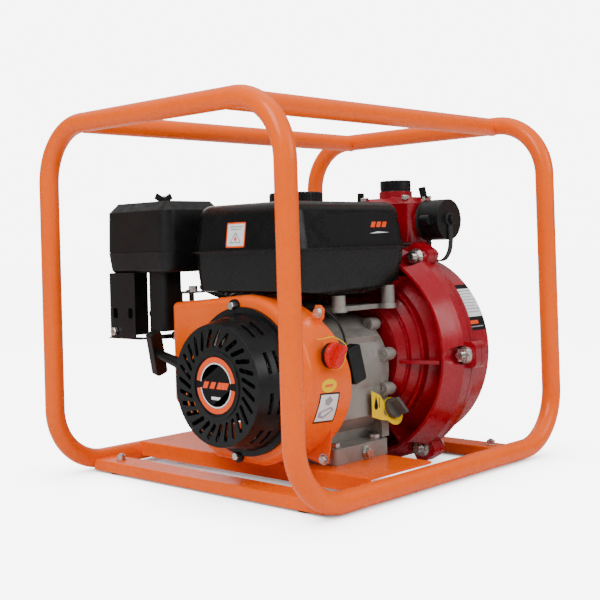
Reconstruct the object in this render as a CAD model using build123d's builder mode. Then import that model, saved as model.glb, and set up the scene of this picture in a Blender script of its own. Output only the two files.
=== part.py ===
from build123d import *
from math import cos, radians, sin, tan
import os

os.makedirs("parts", exist_ok=True)

# A portable fire pump: a petrol engine and a high-pressure pump in a tube frame.
# +X runs along the crankshaft from the recoil starter to the pump, -Y is the side
# of the oil filler, +Y is the side of the cylinder head, +Z is up. The ground is
# z = 0, and x = y = 0 is the middle of the frame.

# ---- Driving dimensions, mm ----
tube_d = 25.4
tube_wall = 2.0
bend_r = 75.0
hoop_x = 260.8
rail_y = 217.6
hoop_top_z = 461.3
roof_rail_y = 135.0
roof_rail_z = 460.0
pad_drop = 2.0
sheet = 3.0

crank_y, crank_z = -62.0, 136.0
cylinder_x = -50.0
cylinder_tilt = 25.0
bore_r = 35.0
throw = 27.0
rod_length = 84.0
deck = 136.0
case_front_x, case_back_x = -92.0, -6.0
engine_face_x = 12.0

pump_y, pump_z = -64.0, 151.4
flange_x = 80.0
drum_r = 128.0
lug_pcd_r = 145.0
lug_t = 12.0
running_gap = 0.05

# ---- Sizes worked out from them ----
tube_r = tube_d / 2
rail_z = pad_drop + tube_r
join_z = hoop_top_z - bend_r - 2
bed_top_z = rail_z + tube_r + 2
tilt_cos, tilt_sin = cos(radians(cylinder_tilt)), sin(radians(cylinder_tilt))
HEX = 1 / cos(radians(30))


def facing_x(x, y=0.0, z=0.0):
    """A plane square to the crankshaft: its own x is +Y and its own y is +Z."""
    return Plane(origin=(x, y, z), x_dir=(0, 1, 0), z_dir=(1, 0, 0))


def facing_front(x, y=0.0, z=0.0):
    """The same, looking the other way: its own x is -Y and its own y is +Z."""
    return Plane(origin=(x, y, z), x_dir=(0, -1, 0), z_dir=(-1, 0, 0))


def facing_side(x, y, z):
    """A plane whose normal is -Y: its own x is +X and its own y is +Z."""
    return Plane(origin=(x, y, z), x_dir=(1, 0, 0), z_dir=(0, -1, 0))


def along_cylinder(distance):
    """A plane square to the cylinder, this far out from the crankshaft's axis."""
    place = (cylinder_x, crank_y + distance * tilt_cos, crank_z + distance * tilt_sin)
    return Plane(origin=place, x_dir=(1, 0, 0), z_dir=(0, tilt_cos, tilt_sin))


def write(part, name):
    part.label = name
    export_step(part, "parts/" + name + ".step")


def hex_bolt(plane, across, head, shank_r, length):
    """A bolt whose head stands on the plane and whose shank goes into it."""
    with BuildPart() as bolt:
        with BuildSketch(plane):
            RegularPolygon(across / 2 * HEX, 6)
        extrude(amount=head)
        top = bolt.faces().sort_by(Axis(plane.origin, plane.z_dir))[-1]
        chamfer(top.edges(), across * 0.07)
        with BuildSketch(plane):
            Circle(shank_r)
        extrude(amount=-length)
    return bolt.part


def main_solid(part):
    return part.solids().sort_by(SortBy.VOLUME)[-1]


def group(parts, name):
    write(Compound(children=parts), name)


# ---- Frame ----
def bent_tube(points, wall):
    with BuildPart() as tube:
        with BuildLine() as route:
            FilletPolyline(*points, radius=bend_r)
        with BuildSketch(Plane(origin=route.line @ 0, z_dir=route.line % 0)):
            Circle(tube_r)
            if wall:
                Circle(tube_r - wall, mode=Mode.SUBTRACT)
        sweep()
    return tube.part


def hoop_route(x):
    corners = ((rail_y, join_z), (rail_y, hoop_top_z), (-rail_y, hoop_top_z), (-rail_y, join_z))
    return [(x, y, z) for y, z in corners]


def base_route(y):
    corners = ((-hoop_x, join_z), (-hoop_x, rail_z), (hoop_x, rail_z), (hoop_x, join_z))
    return [(x, y, z) for x, z in corners]


for name, x in (("hoop_front", -hoop_x), ("hoop_rear", hoop_x)):
    write(bent_tube(hoop_route(x), tube_wall), name)
for name, y in (("base_rail_right", -rail_y), ("base_rail_left", rail_y)):
    write(bent_tube(base_route(y), tube_wall), name)
base_rods = [bent_tube(base_route(y), 0) for y in (-rail_y, rail_y)]
hoop_rods = [bent_tube(hoop_route(x), 0) for x in (-hoop_x, hoop_x)]

roof_rails = []
for y in (-roof_rail_y, roof_rail_y):
    with BuildPart() as roof_rail:
        with BuildSketch(facing_x(-hoop_x, y, roof_rail_z)):
            Circle(tube_r)
            Circle(tube_r - tube_wall, mode=Mode.SUBTRACT)
        extrude(amount=2 * hoop_x)
        for rod in hoop_rods:
            add(rod, mode=Mode.SUBTRACT)
    roof_rails.append(main_solid(roof_rail.part))
group(roof_rails, "roof_rails")

foot_y = 172.0
front_foot_x, rear_foot_x = -189.0, 175.0
channel_top_z = 17.0
channel_lip_z = 3.0
channel_half = 18.5


member_half_y = 208.0


def cross_member(middle_x, half, top_z, lip_z, holes, hole_r, lips=2):
    """A folded sheet across the frame, its ends cut to the rails it is welded to."""
    with BuildPart() as member:
        with BuildSketch(Plane.XZ.offset(-member_half_y)):
            with Locations((middle_x, (top_z + lip_z) / 2)):
                Rectangle(2 * half, top_z - lip_z)
            hollow = 2 * half - lips * sheet
            with Locations((middle_x + half - hollow / 2 - sheet * (lips - 1), (top_z - sheet + lip_z) / 2)):
                Rectangle(hollow, top_z - sheet - lip_z, mode=Mode.SUBTRACT)
        extrude(amount=2 * member_half_y)
        fold = member.edges().filter_by(Axis.Y).group_by(Axis.Z)[-1].sort_by(Axis.X)
        fillet(fold[:lips], 2.5)
        for rod in base_rods:
            add(rod, mode=Mode.SUBTRACT)
        with BuildSketch(Plane.XY.offset(top_z)):
            with Locations(*holes):
                Circle(hole_r)
        extrude(amount=-sheet, mode=Mode.SUBTRACT)
    return member.part


channels = []
for x in (front_foot_x, rear_foot_x):
    holes = [(x, foot_y), (x, -foot_y)]
    channel = cross_member(x, channel_half, channel_top_z, channel_lip_z, holes, 3.5)
    channels.append(main_solid(channel))
group(channels, "frame_channels")

engine_bolt_x = (-90.0, -14.0)
engine_bolt_y = (-122.0, 40.0)
engine_bolts_at = [(x, y) for x in engine_bolt_x for y in engine_bolt_y]
bed = cross_member(-69, 59, bed_top_z, bed_top_z - 20, engine_bolts_at, 4.5, 1)
write(main_solid(bed), "engine_bed")

foot_places = [(x, s * foot_y) for x in (front_foot_x, rear_foot_x) for s in (1, -1)]
foot_height = channel_top_z - sheet
with BuildPart() as feet:
    with BuildSketch():
        with Locations(*foot_places):
            Circle(14.5)
            Circle(3.2, mode=Mode.SUBTRACT)
    extrude(amount=foot_height, taper=6)
write(feet.part, "rubber_feet")

foot_bolts = []
for x, y in foot_places:
    with BuildPart() as foot_bolt:
        with BuildSketch(Plane.XY.offset(4)):
            with Locations((x, y)):
                Circle(3.0)
        extrude(amount=21)
        with BuildSketch(Plane.XY.offset(channel_top_z)):
            with Locations((x, y)):
                Circle(7)
        extrude(amount=1.2)
        with BuildSketch(Plane.XY.offset(channel_top_z + 1.2)):
            with Locations((x, y)):
                RegularPolygon(5 * HEX, 6)
        extrude(amount=5)
    foot_bolts.append(foot_bolt.part)

# ---- Engine block ----
base_top_z = 49.0
base_x, base_y = (-103.0, 0.0), (-135.0, 53.0)
cavity_r = 58.0
case_r = 70.0
bearing_r = 16.0
fin_half_x, fin_half = 44.0, 42.0
barrel_start, barrel_r = 56.0, 43.0
post_places = ((-80.0, -127.0), (14.0, -129.0))
post_r = 8.5
post_tops = (233.5, 242.5)
post_foot_z = 213.0
drain_x, drain_z = -45.0, 38.0

with BuildPart() as crankcase:
    with BuildSketch(Plane.XY.offset(bed_top_z)):
        with Locations(((base_x[0] + base_x[1]) / 2, (base_y[0] + base_y[1]) / 2)):
            RectangleRounded(base_x[1] - base_x[0], base_y[1] - base_y[0], 6)
    extrude(amount=base_top_z - bed_top_z)
    with BuildSketch(facing_x(case_front_x)):
        with Locations((crank_y, crank_z)):
            Circle(case_r)
        with BuildLine():
            Polyline(
                (-107, base_top_z),
                (-111, base_top_z + 14),
                (-129, base_top_z + 32),
                (-129, crank_z),
                (3, crank_z),
                (3, base_top_z),
                close=True,
            )
        make_face()
        with Locations((crank_y - 8, crank_z + 46)):
            Rectangle(104, 44, rotation=cylinder_tilt)
    extrude(amount=case_back_x - case_front_x)
    with BuildSketch(along_cylinder(barrel_start)):
        Circle(barrel_r)
    extrude(amount=deck - barrel_start)
    for number in range(8):
        with BuildSketch(along_cylinder(72 + 8.5 * number)):
            RectangleRounded(2 * fin_half_x, 2 * fin_half, 10)
        extrude(amount=2.4)
    with BuildSketch(facing_x(case_front_x + 10, crank_y, crank_z)):
        Circle(cavity_r)
    extrude(amount=case_back_x - case_front_x - 10, mode=Mode.SUBTRACT)
    with BuildSketch(along_cylinder(0)):
        Circle(bore_r)
    extrude(amount=deck, mode=Mode.SUBTRACT)
    with BuildSketch(facing_x(case_front_x, crank_y, crank_z)):
        Circle(bearing_r + running_gap)
    extrude(amount=10, mode=Mode.SUBTRACT)
    with BuildSketch(facing_side(drain_x, base_y[0], drain_z)):
        Circle(4.1)
    extrude(amount=-14, mode=Mode.SUBTRACT)
    with BuildSketch(Plane.XY.offset(bed_top_z)):
        with Locations(*engine_bolts_at):
            Circle(4.5)
    extrude(amount=base_top_z - bed_top_z, mode=Mode.SUBTRACT)

# The two posts that carry the tank stand on a cast bracket beside the block.
with BuildPart() as tank_bracket:
    with BuildSketch(Plane.XY.offset(post_foot_z)):
        with BuildLine():
            Polyline((-88, -120), (22, -122), (15, -104), (-10, -66), (-88, -66), close=True)
        make_face()
        with Locations(*post_places):
            Circle(post_r + 2)
    extrude(amount=6)
    for place, top_z in zip(post_places, post_tops):
        with BuildSketch(Plane.XY.offset(post_foot_z + 6)):
            with Locations(place):
                Circle(post_r)
        extrude(amount=top_z - post_foot_z - 6)
    add(crankcase.part, mode=Mode.SUBTRACT)
group([main_solid(crankcase.part), main_solid(tank_bracket.part)], "crankcase")

cover_bolt_angles = (20, 75, 130, 165, 200, 235, 305, 340)
cover_bolt_r = 74.0


def round_crank(radius, angles):
    """Places on a circle about the crankshaft, in the plane facing_x."""
    return [
        (crank_y + radius * cos(radians(a)), crank_z + radius * sin(radians(a)))
        for a in angles
    ]


filler_x, filler_z = 6.0, 84.0
filler_tilt = 20.0
filler_plane = Plane(
    origin=(filler_x, -133.0, filler_z),
    x_dir=(1, 0, 0),
    z_dir=(0, -cos(radians(filler_tilt)), sin(radians(filler_tilt))),
)
with BuildPart() as cover:
    with BuildSketch(facing_x(case_back_x)):
        with Locations((crank_y, crank_z)):
            Circle(case_r)
        with Locations((crank_y, (base_top_z + 1 + crank_z) / 2)):
            Rectangle(2 * case_r - 6, crank_z - base_top_z - 1)
        with Locations(*round_crank(cover_bolt_r, cover_bolt_angles)):
            Circle(8.5)
    extrude(amount=engine_face_x - case_back_x - 4)
    with BuildSketch(facing_x(engine_face_x - 4)):
        with Locations((crank_y, crank_z)):
            Circle(52)
        with Locations(*round_crank(cover_bolt_r, cover_bolt_angles)):
            Circle(7.5)
    extrude(amount=4)
    with BuildSketch(filler_plane.offset(-12)):
        Circle(15)
    extrude(amount=14)
    with BuildSketch(filler_plane.offset(-12)):
        Circle(10)
    extrude(amount=16, mode=Mode.SUBTRACT)
    with BuildSketch(facing_x(case_back_x, crank_y, crank_z)):
        Circle(bearing_r + running_gap)
    extrude(amount=30, mode=Mode.SUBTRACT)
    with BuildSketch(facing_x(case_back_x)):
        with Locations(*round_crank(cover_bolt_r, cover_bolt_angles)):
            Circle(3.6)
    extrude(amount=30, mode=Mode.SUBTRACT)
    add(crankcase.part, mode=Mode.SUBTRACT)
write(main_solid(cover.part), "crankcase_cover")

cover_bolts = [
    hex_bolt(facing_x(engine_face_x, y, z), 10, 5, 3.4, 17)
    for y, z in round_crank(cover_bolt_r, cover_bolt_angles)
]

engine_bolts = []
for x, y in engine_bolts_at:
    engine_bolts.append(hex_bolt(Plane((x, y, base_top_z)), 12, 6, 4, base_top_z - bed_top_z + 8))
group(foot_bolts + engine_bolts, "frame_bolts")

drain_plane = facing_side(drain_x, base_y[0], drain_z)
with BuildPart() as drain_plug:
    with BuildSketch(drain_plane):
        Circle(8.5)
    extrude(amount=1.5)
    with BuildSketch(drain_plane.offset(1.5)):
        RegularPolygon(5.5 * HEX, 6)
    extrude(amount=5.5)
    with BuildSketch(drain_plane):
        Circle(4)
    extrude(amount=-12)

# ---- Cylinder head ----
head_end = 168.0
with BuildPart() as head:
    with BuildSketch(along_cylinder(deck)):
        RectangleRounded(78, 74, 12)
    extrude(amount=head_end - deck)
    for number in range(4):
        with BuildSketch(along_cylinder(deck + 1 + 8 * number)):
            RectangleRounded(2 * fin_half_x, 2 * fin_half, 10)
        extrude(amount=2.4)
    with BuildSketch(along_cylinder(deck)):
        Circle(bore_r - 6)
    extrude(amount=8, mode=Mode.SUBTRACT)
    with BuildSketch(along_cylinder(head_end)):
        with Locations((-24, -29)):
            Circle(7.1)
    extrude(amount=-26, mode=Mode.SUBTRACT)
write(main_solid(head.part), "cylinder_head")

rocker_depth = 22.0
with BuildPart() as valve_cover:
    with BuildSketch(along_cylinder(head_end)):
        with Locations((8, 12)):
            RectangleRounded(60, 46, 14)
    extrude(amount=rocker_depth)
    fillet(valve_cover.faces().sort_by(Axis((0, 0, 0), along_cylinder(0).z_dir))[-1].edges(), 6)
    with BuildSketch(along_cylinder(head_end)):
        with Locations((8, 12)):
            RectangleRounded(54, 40, 11)
    extrude(amount=rocker_depth - 3, mode=Mode.SUBTRACT)
    with BuildSketch(along_cylinder(head_end)):
        with Locations((8, 12)):
            RectangleRounded(66, 50, 16)
            RectangleRounded(54, 40, 11, mode=Mode.SUBTRACT)
    extrude(amount=4)
write(main_solid(valve_cover.part), "valve_cover")

plug_axis = along_cylinder(head_end)
plug_axis.origin = plug_axis.from_local_coords(Vector(-24, -29, 0))
with BuildPart() as spark_plug:
    with BuildSketch(plug_axis.offset(-20)):
        Circle(7)
    extrude(amount=20)
    with BuildSketch(plug_axis):
        RegularPolygon(10 * HEX, 6)
    extrude(amount=9)
    with BuildSketch(plug_axis.offset(9)):
        Circle(5.5)
    extrude(amount=24, taper=4)
write(spark_plug.part, "spark_plug")

# ---- Piston, rod and crankshaft ----
crown_gap = 0.8
wrist = throw + rod_length
wrist_pin_r = 8.5
with BuildPart() as piston:
    with BuildSketch(along_cylinder(deck - crown_gap - 42)):
        Circle(bore_r - running_gap)
    extrude(amount=42)
    with BuildSketch(along_cylinder(deck - crown_gap - 42)):
        Circle(28)
    extrude(amount=36, mode=Mode.SUBTRACT)
    for depth in (4, 9, 14):
        with BuildSketch(along_cylinder(deck - crown_gap - depth)):
            Circle(bore_r)
            Circle(bore_r - 2.4, mode=Mode.SUBTRACT)
        extrude(amount=-1.6, mode=Mode.SUBTRACT)
    pin_plane = facing_x(cylinder_x)
    pin_plane.origin = along_cylinder(wrist).origin
    with BuildSketch(pin_plane):
        Circle(wrist_pin_r + 5)
    extrude(amount=30, both=True)
    with BuildSketch(pin_plane):
        Circle(wrist_pin_r + 5.5)
    extrude(amount=10.5, both=True, mode=Mode.SUBTRACT)
    with BuildSketch(pin_plane):
        Circle(wrist_pin_r)
    extrude(amount=40, both=True, mode=Mode.SUBTRACT)
    with BuildSketch(along_cylinder(0)):
        Circle(bore_r + 20)
        Circle(bore_r - running_gap, mode=Mode.SUBTRACT)
    extrude(amount=deck, mode=Mode.SUBTRACT)

ring_parts = []
for depth in (4, 9, 14):
    with BuildPart() as ring:
        with BuildSketch(along_cylinder(deck - crown_gap - depth - 0.1)):
            Circle(bore_r - 0.02)
            Circle(bore_r - 2.3, mode=Mode.SUBTRACT)
        extrude(amount=-1.4)
    ring_parts.append(ring.part)

with BuildPart() as wrist_pin:
    with BuildSketch(pin_plane):
        Circle(wrist_pin_r - 0.01)
        Circle(5, mode=Mode.SUBTRACT)
    extrude(amount=27, both=True)
group([main_solid(piston.part), wrist_pin.part] + ring_parts, "piston")

rod_half = 9.0
big_end_r, big_end_bore = 17.0, 12.0
with BuildPart() as rod_part:
    with BuildSketch(facing_x(cylinder_x - rod_half)):
        with Locations((along_cylinder(wrist).origin.Y, along_cylinder(wrist).origin.Z)):
            Circle(wrist_pin_r + 5)
        with Locations((along_cylinder(throw).origin.Y, along_cylinder(throw).origin.Z)):
            Circle(big_end_r)
        middle = along_cylinder(throw + rod_length / 2).origin
        with Locations((middle.Y, middle.Z)):
            Rectangle(rod_length, 13, rotation=cylinder_tilt)
        with Locations((along_cylinder(wrist).origin.Y, along_cylinder(wrist).origin.Z)):
            Circle(wrist_pin_r + running_gap, mode=Mode.SUBTRACT)
        with Locations((along_cylinder(throw).origin.Y, along_cylinder(throw).origin.Z)):
            Circle(big_end_bore, mode=Mode.SUBTRACT)
    extrude(amount=2 * rod_half)
write(rod_part.part, "connecting_rod")

web_gap = 11.0
web_t = 10.0
web_r = 36.0
crankpin_r = 8.0
pump_end_x = 128.0
flywheel_end_x = -170.0
with BuildPart() as crankshaft:
    for side in (-1, 1):
        web_x = cylinder_x + side * (web_gap + web_t / 2)
        with BuildSketch(facing_x(web_x, crank_y, crank_z)):
            Circle(web_r)
        extrude(amount=web_t / 2, both=True)
        pin = along_cylinder(throw).origin
        with BuildSketch(facing_x(cylinder_x + side * web_gap, pin.Y, pin.Z)):
            Circle(crankpin_r)
        extrude(amount=-side * 1.2)
    with BuildSketch(facing_x(cylinder_x - web_gap - web_t, crank_y, crank_z)):
        Circle(bearing_r)
    extrude(amount=-(cylinder_x - web_gap - web_t - case_front_x) - 4)
    with BuildSketch(facing_x(case_front_x - 4, crank_y, crank_z)):
        Circle(12)
    extrude(amount=flywheel_end_x - case_front_x + 4)
    with BuildSketch(facing_x(cylinder_x + web_gap + web_t, crank_y, crank_z)):
        Circle(bearing_r)
    extrude(amount=engine_face_x + 4 - cylinder_x - web_gap - web_t)
    with BuildSketch(facing_x(engine_face_x + 4, crank_y, crank_z)):
        Circle(10)
    extrude(amount=pump_end_x - engine_face_x - 4)
write(crankshaft.part, "crankshaft")

# ---- Flywheel, fan and starter cup ----
flywheel_r = 78.0
flywheel_back_x = -112.0
flywheel_front_x = -140.0
with BuildPart() as flywheel:
    with BuildSketch(facing_x(flywheel_front_x, crank_y, crank_z)):
        Circle(flywheel_r)
        Circle(12.02, mode=Mode.SUBTRACT)
    extrude(amount=flywheel_back_x - flywheel_front_x)
    with BuildSketch(facing_x(flywheel_back_x, crank_y, crank_z)):
        Circle(flywheel_r - 12)
        Circle(20, mode=Mode.SUBTRACT)
    extrude(amount=-18, mode=Mode.SUBTRACT)
    with BuildSketch(facing_x(flywheel_front_x, crank_y, crank_z)):
        with PolarLocations(59, 16):
            Rectangle(34, 2.5, rotation=18)
    extrude(amount=-20)
    with BuildSketch(facing_x(flywheel_front_x, crank_y, crank_z)):
        Circle(12.02)
    extrude(amount=-20, mode=Mode.SUBTRACT)
write(main_solid(flywheel.part), "flywheel")

cup_r = 32.0
with BuildPart() as starter_cup:
    with BuildSketch(facing_x(flywheel_front_x - 2.5, crank_y, crank_z)):
        Circle(cup_r)
        Circle(12.02, mode=Mode.SUBTRACT)
    extrude(amount=2.5)
    with BuildSketch(facing_x(flywheel_front_x - 26, crank_y, crank_z)):
        Circle(cup_r)
        Circle(cup_r - 2, mode=Mode.SUBTRACT)
    extrude(amount=24)

with BuildPart() as crank_nut:
    with BuildSketch(facing_x(flywheel_front_x - 2.5, crank_y, crank_z)):
        RegularPolygon(11.5 * HEX + 3, 6)
        Circle(12.02, mode=Mode.SUBTRACT)
    extrude(amount=-12)
group([starter_cup.part, crank_nut.part], "starter_cup")

# ---- Fan shroud ----
shroud_front_x, shroud_back_x = -180.0, -100.0
shroud_t = 2.0
shroud_edge_r = 9.0
shroud_right_r = 103.0
shroud_left_y = 72.0
shroud_hole_r = 78.0


def shroud_outline(inset):
    with BuildSketch(mode=Mode.PRIVATE) as outline:
        with BuildLine():
            top = Line((shroud_left_y, 228), (crank_y, crank_z + shroud_right_r))
            ThreePointArc(top @ 1, (crank_y - shroud_right_r, crank_z), (crank_y - 24, 36))
            Polyline((crank_y - 24, 36), (-5, 39), (36, 64), (shroud_left_y, 104), top @ 0)
        make_face()
        fillet(outline.vertices(), 5)
        if inset:
            offset(amount=-inset, kind=Kind.INTERSECTION)
    return outline.sketch


with BuildPart(mode=Mode.PRIVATE) as shroud_room:
    with BuildSketch(facing_x(shroud_front_x + shroud_t)):
        add(shroud_outline(shroud_t))
    extrude(amount=shroud_back_x - shroud_front_x)
    fillet(shroud_room.faces().sort_by(Axis.X)[0].edges(), shroud_edge_r - shroud_t)

with BuildPart() as shroud:
    with BuildSketch(facing_x(shroud_front_x)):
        add(shroud_outline(0))
    extrude(amount=shroud_back_x - shroud_front_x)
    fillet(shroud.faces().sort_by(Axis.X)[0].edges(), shroud_edge_r)
    add(shroud_room.part, mode=Mode.SUBTRACT)
    with BuildSketch(facing_x(shroud_front_x, crank_y, crank_z)):
        Circle(shroud_hole_r)
    extrude(amount=20, mode=Mode.SUBTRACT)
    with BuildSketch(Plane.XZ.offset(-100)):
        with BuildLine():
            back = ThreePointArc((-147, 245), (-104, 128), (-122, 30))
            Polyline(back @ 1, (-60, 30), (-60, 245), back @ 0)
        make_face()
    extrude(amount=300, mode=Mode.SUBTRACT)
write(main_solid(shroud.part), "fan_shroud")

# ---- Recoil starter ----
recoil_front_x, recoil_rim_x = -227.0, -184.0
recoil_rim_r, recoil_wall_r, recoil_face_r = 89.0, 82.0, 72.0
recoil_wall = 2.5
ear_angles = (82, 150, 215, 278)
crank_axis = Axis((0, crank_y, crank_z), (1, 0, 0))
crank_section = Plane(origin=(0, crank_y, crank_z), x_dir=(1, 0, 0), z_dir=(0, -1, 0))

pull_angle = 14.0
rope_x = -200.0
rope_r = 2.0
pull_dir = Vector(0, cos(radians(pull_angle)), sin(radians(pull_angle)))
rope_exit = Vector(rope_x, 33, 154)


def along_rope(distance):
    """A plane square to the starter rope, this far out from its guide."""
    return Plane(origin=rope_exit + pull_dir * distance, x_dir=(1, 0, 0), z_dir=pull_dir)


with BuildPart() as recoil:
    with BuildSketch(crank_section):
        with BuildLine():
            Polyline(
                (recoil_front_x, 0),
                (recoil_front_x, recoil_face_r),
                (recoil_rim_x, recoil_wall_r),
                (recoil_rim_x, recoil_rim_r),
                (shroud_front_x - 0.01, recoil_rim_r),
                (shroud_front_x - 0.01, recoil_wall_r - recoil_wall),
                (recoil_front_x + recoil_wall, recoil_face_r - recoil_wall),
                (recoil_front_x + recoil_wall, 0),
                close=True,
            )
        make_face()
    revolve(axis=crank_axis)
    with BuildSketch(facing_x(recoil_front_x, crank_y, crank_z)):
        Circle(40)
        Circle(36, mode=Mode.SUBTRACT)
    extrude(amount=-1.5)
    with BuildSketch(facing_x(recoil_rim_x)):
        with Locations(*round_crank(recoil_rim_r + 2, ear_angles)):
            Circle(8)
        with Locations((crank_y, crank_z)):
            Circle(recoil_wall_r - recoil_wall, mode=Mode.SUBTRACT)
    extrude(amount=3.99)
    with BuildSketch(facing_x(recoil_front_x - 2, crank_y, crank_z)):
        with PolarLocations(55, 27):
            SlotOverall(24, 5.4, rotation=28)
    extrude(amount=recoil_wall + 4, mode=Mode.SUBTRACT)
    for row_x in (recoil_rim_x - 26, recoil_rim_x - 14):
        with BuildSketch(facing_x(row_x - 2.5, crank_y, crank_z)):
            with PolarLocations(78, 10, start_angle=86):
                Rectangle(30, 26)
        extrude(amount=5, mode=Mode.SUBTRACT)
    with BuildSketch(along_rope(-24)):
        Circle(8)
    extrude(amount=26)
    with BuildSketch(crank_section):
        with BuildLine():
            Polyline(
                (recoil_front_x + recoil_wall, 0),
                (recoil_front_x + recoil_wall, recoil_face_r - recoil_wall),
                (recoil_rim_x, recoil_wall_r - recoil_wall),
                (recoil_rim_x, 0),
                close=True,
            )
        make_face()
    revolve(axis=crank_axis, mode=Mode.SUBTRACT)
    with BuildSketch(along_rope(-40)):
        Circle(rope_r + 1.2)
    extrude(amount=60, mode=Mode.SUBTRACT)
    with BuildSketch(facing_x(recoil_rim_x)):
        with Locations(*round_crank(recoil_rim_r + 2, ear_angles)):
            Circle(3.1)
    extrude(amount=4, mode=Mode.SUBTRACT)
    with BuildSketch(facing_x(recoil_front_x + recoil_wall, crank_y, crank_z)):
        Circle(7)
    extrude(amount=30)
write(main_solid(recoil.part), "recoil_housing")

recoil_bolts = [
    hex_bolt(facing_front(recoil_rim_x, y, z), 9, 5, 3, 3.9)
    for y, z in round_crank(recoil_rim_r + 2, ear_angles)
]

reel_r, groove_r = 46.0, 36.0
reel_front_x, reel_back_x = -221.0, -207.0
with BuildPart() as reel:
    with BuildSketch(facing_x(reel_front_x, crank_y, crank_z)):
        Circle(reel_r)
    extrude(amount=reel_back_x - reel_front_x)
    with BuildSketch(facing_x(reel_front_x + 3.5, crank_y, crank_z)):
        Circle(reel_r + 1)
        Circle(groove_r, mode=Mode.SUBTRACT)
    extrude(amount=7, mode=Mode.SUBTRACT)
    with BuildSketch(facing_x(reel_back_x, crank_y, crank_z)):
        with PolarLocations(22, 2):
            RectangleRounded(18, 9, 3, rotation=30)
    extrude(amount=4)
    with BuildSketch(facing_x(reel_front_x, crank_y, crank_z)):
        Circle(7.4)
    extrude(amount=30, mode=Mode.SUBTRACT)
    with BuildSketch(facing_x(reel_front_x, crank_y, crank_z)):
        Circle(26)
        Circle(12, mode=Mode.SUBTRACT)
    extrude(amount=9, mode=Mode.SUBTRACT)
write(main_solid(reel.part), "recoil_reel")

with BuildPart() as recoil_spring:
    with BuildSketch(facing_x(reel_front_x + 1.2, crank_y, crank_z)):
        for turn_r in (14, 17, 20, 23):
            Circle(turn_r + 0.5)
            Circle(turn_r - 0.5, mode=Mode.SUBTRACT)
    extrude(amount=6)
write(recoil_spring.part, "recoil_spring")

grip_half, grip_w, grip_t = 30.0, 17.0, 13.0
grip_twist = -20.0
stem_length = 40.0
with BuildPart() as handle:
    with BuildSketch(along_rope(2.5)):
        Circle(7)
    extrude(amount=stem_length, taper=2)
    with BuildSketch(along_rope(stem_length + 1)):
        RectangleRounded(grip_w, 2 * grip_half, 4, rotation=grip_twist)
    extrude(amount=grip_t)
    fillet(handle.faces().sort_by(Axis(rope_exit, pull_dir))[-1].edges(), 3)
    with BuildSketch(along_rope(0)):
        Circle(rope_r)
    extrude(amount=stem_length, mode=Mode.SUBTRACT)
write(main_solid(handle.part), "starter_handle")

with BuildPart() as rope:
    with BuildSketch(along_rope(-76)):
        Circle(rope_r - 0.02)
    extrude(amount=76 + stem_length)
write(rope.part, "starter_rope")

# ---- Engine switch ----
switch_plane = facing_side(-141.0, crank_y - shroud_right_r + 2, 168.0)
with BuildPart() as switch_base:
    with BuildSketch(switch_plane.offset(-14)):
        Circle(9)
    extrude(amount=16)
    with BuildSketch(switch_plane.offset(2)):
        Circle(15)
    extrude(amount=5)
    add(shroud.part, mode=Mode.SUBTRACT)
with BuildPart() as knob:
    with BuildSketch(switch_plane.offset(7.3)):
        Circle(15.5)
    extrude(amount=5)
    fillet(knob.faces().sort_by(Axis.Y)[0].edges(), 2)
    with BuildSketch(switch_plane.offset(12)):
        RectangleRounded(28, 8, 3, rotation=50)
    extrude(amount=8)
write(knob.part, "switch_knob")

# ---- Fuel tank ----
pump_axis = Axis((0, pump_y, pump_z), (1, 0, 0))
pump_section = Plane(origin=(0, pump_y, pump_z), x_dir=(1, 0, 0), z_dir=(0, -1, 0))
lug_angles = (0, 60, 120, 180, 240, 300)


def round_pump(radius, angles):
    return [
        (pump_y + radius * cos(radians(a)), pump_z + radius * sin(radians(a)))
        for a in angles
    ]


tank_mid = (-61.0, -48.0)
tank_x, tank_y = 230.0, 184.0
tank_corner = 30.0
seam_z, tank_top_z, tank_floor_z = 291.0, 350.0, 234.0
tank_wall = 1.5
cap_x, cap_y = -64.0, -45.0


def tank_block(height, inset, sign):
    """One half of the tank as a solid, its walls leaning in from the seam."""
    with BuildPart(mode=Mode.PRIVATE) as block:
        with BuildSketch(Plane.XY.offset(seam_z)):
            with Locations(tank_mid):
                RectangleRounded(tank_x - 2 * inset, tank_y - 2 * inset, tank_corner - inset)
        extrude(amount=sign * (height - inset), taper=8 if sign > 0 else 7)
        end = block.faces().sort_by(Axis.Z)[-1 if sign > 0 else 0]
        fillet(end.edges(), (18 if sign > 0 else 12) - inset)
    return block.part


def flange_ring(z, inner):
    with BuildSketch(Plane.XY.offset(z), mode=Mode.PRIVATE) as ring:
        with Locations(tank_mid):
            RectangleRounded(tank_x + 11, tank_y + 11, tank_corner + 5.5)
            RectangleRounded(
                tank_x - inner, tank_y - inner, tank_corner - inner / 2, mode=Mode.SUBTRACT
            )
    return ring.sketch


upper_block = tank_block(tank_top_z - seam_z, 0, 1)
upper_space = tank_block(tank_top_z - seam_z, tank_wall, 1)
with BuildPart() as tank_upper:
    add(upper_block)
    with BuildSketch(Plane.XY.offset(tank_top_z - 1)):
        with Locations((cap_x, cap_y)):
            Circle(26)
    extrude(amount=7)
    add(upper_space, mode=Mode.SUBTRACT)
    extrude(to_extrude=flange_ring(seam_z, 2), amount=1.5)
    with BuildSketch(Plane.XY.offset(tank_top_z - 10)):
        with Locations((cap_x, cap_y)):
            Circle(22)
    extrude(amount=30, mode=Mode.SUBTRACT)

lower_block = tank_block(seam_z - tank_floor_z, 0, -1)
lower_space = tank_block(seam_z - tank_floor_z, tank_wall, -1)
floor_cuts = (((tank_mid[0] - 140, 246), (-75, 234)), ((-30, 234), (tank_mid[0] + 140, 262)))


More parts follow.
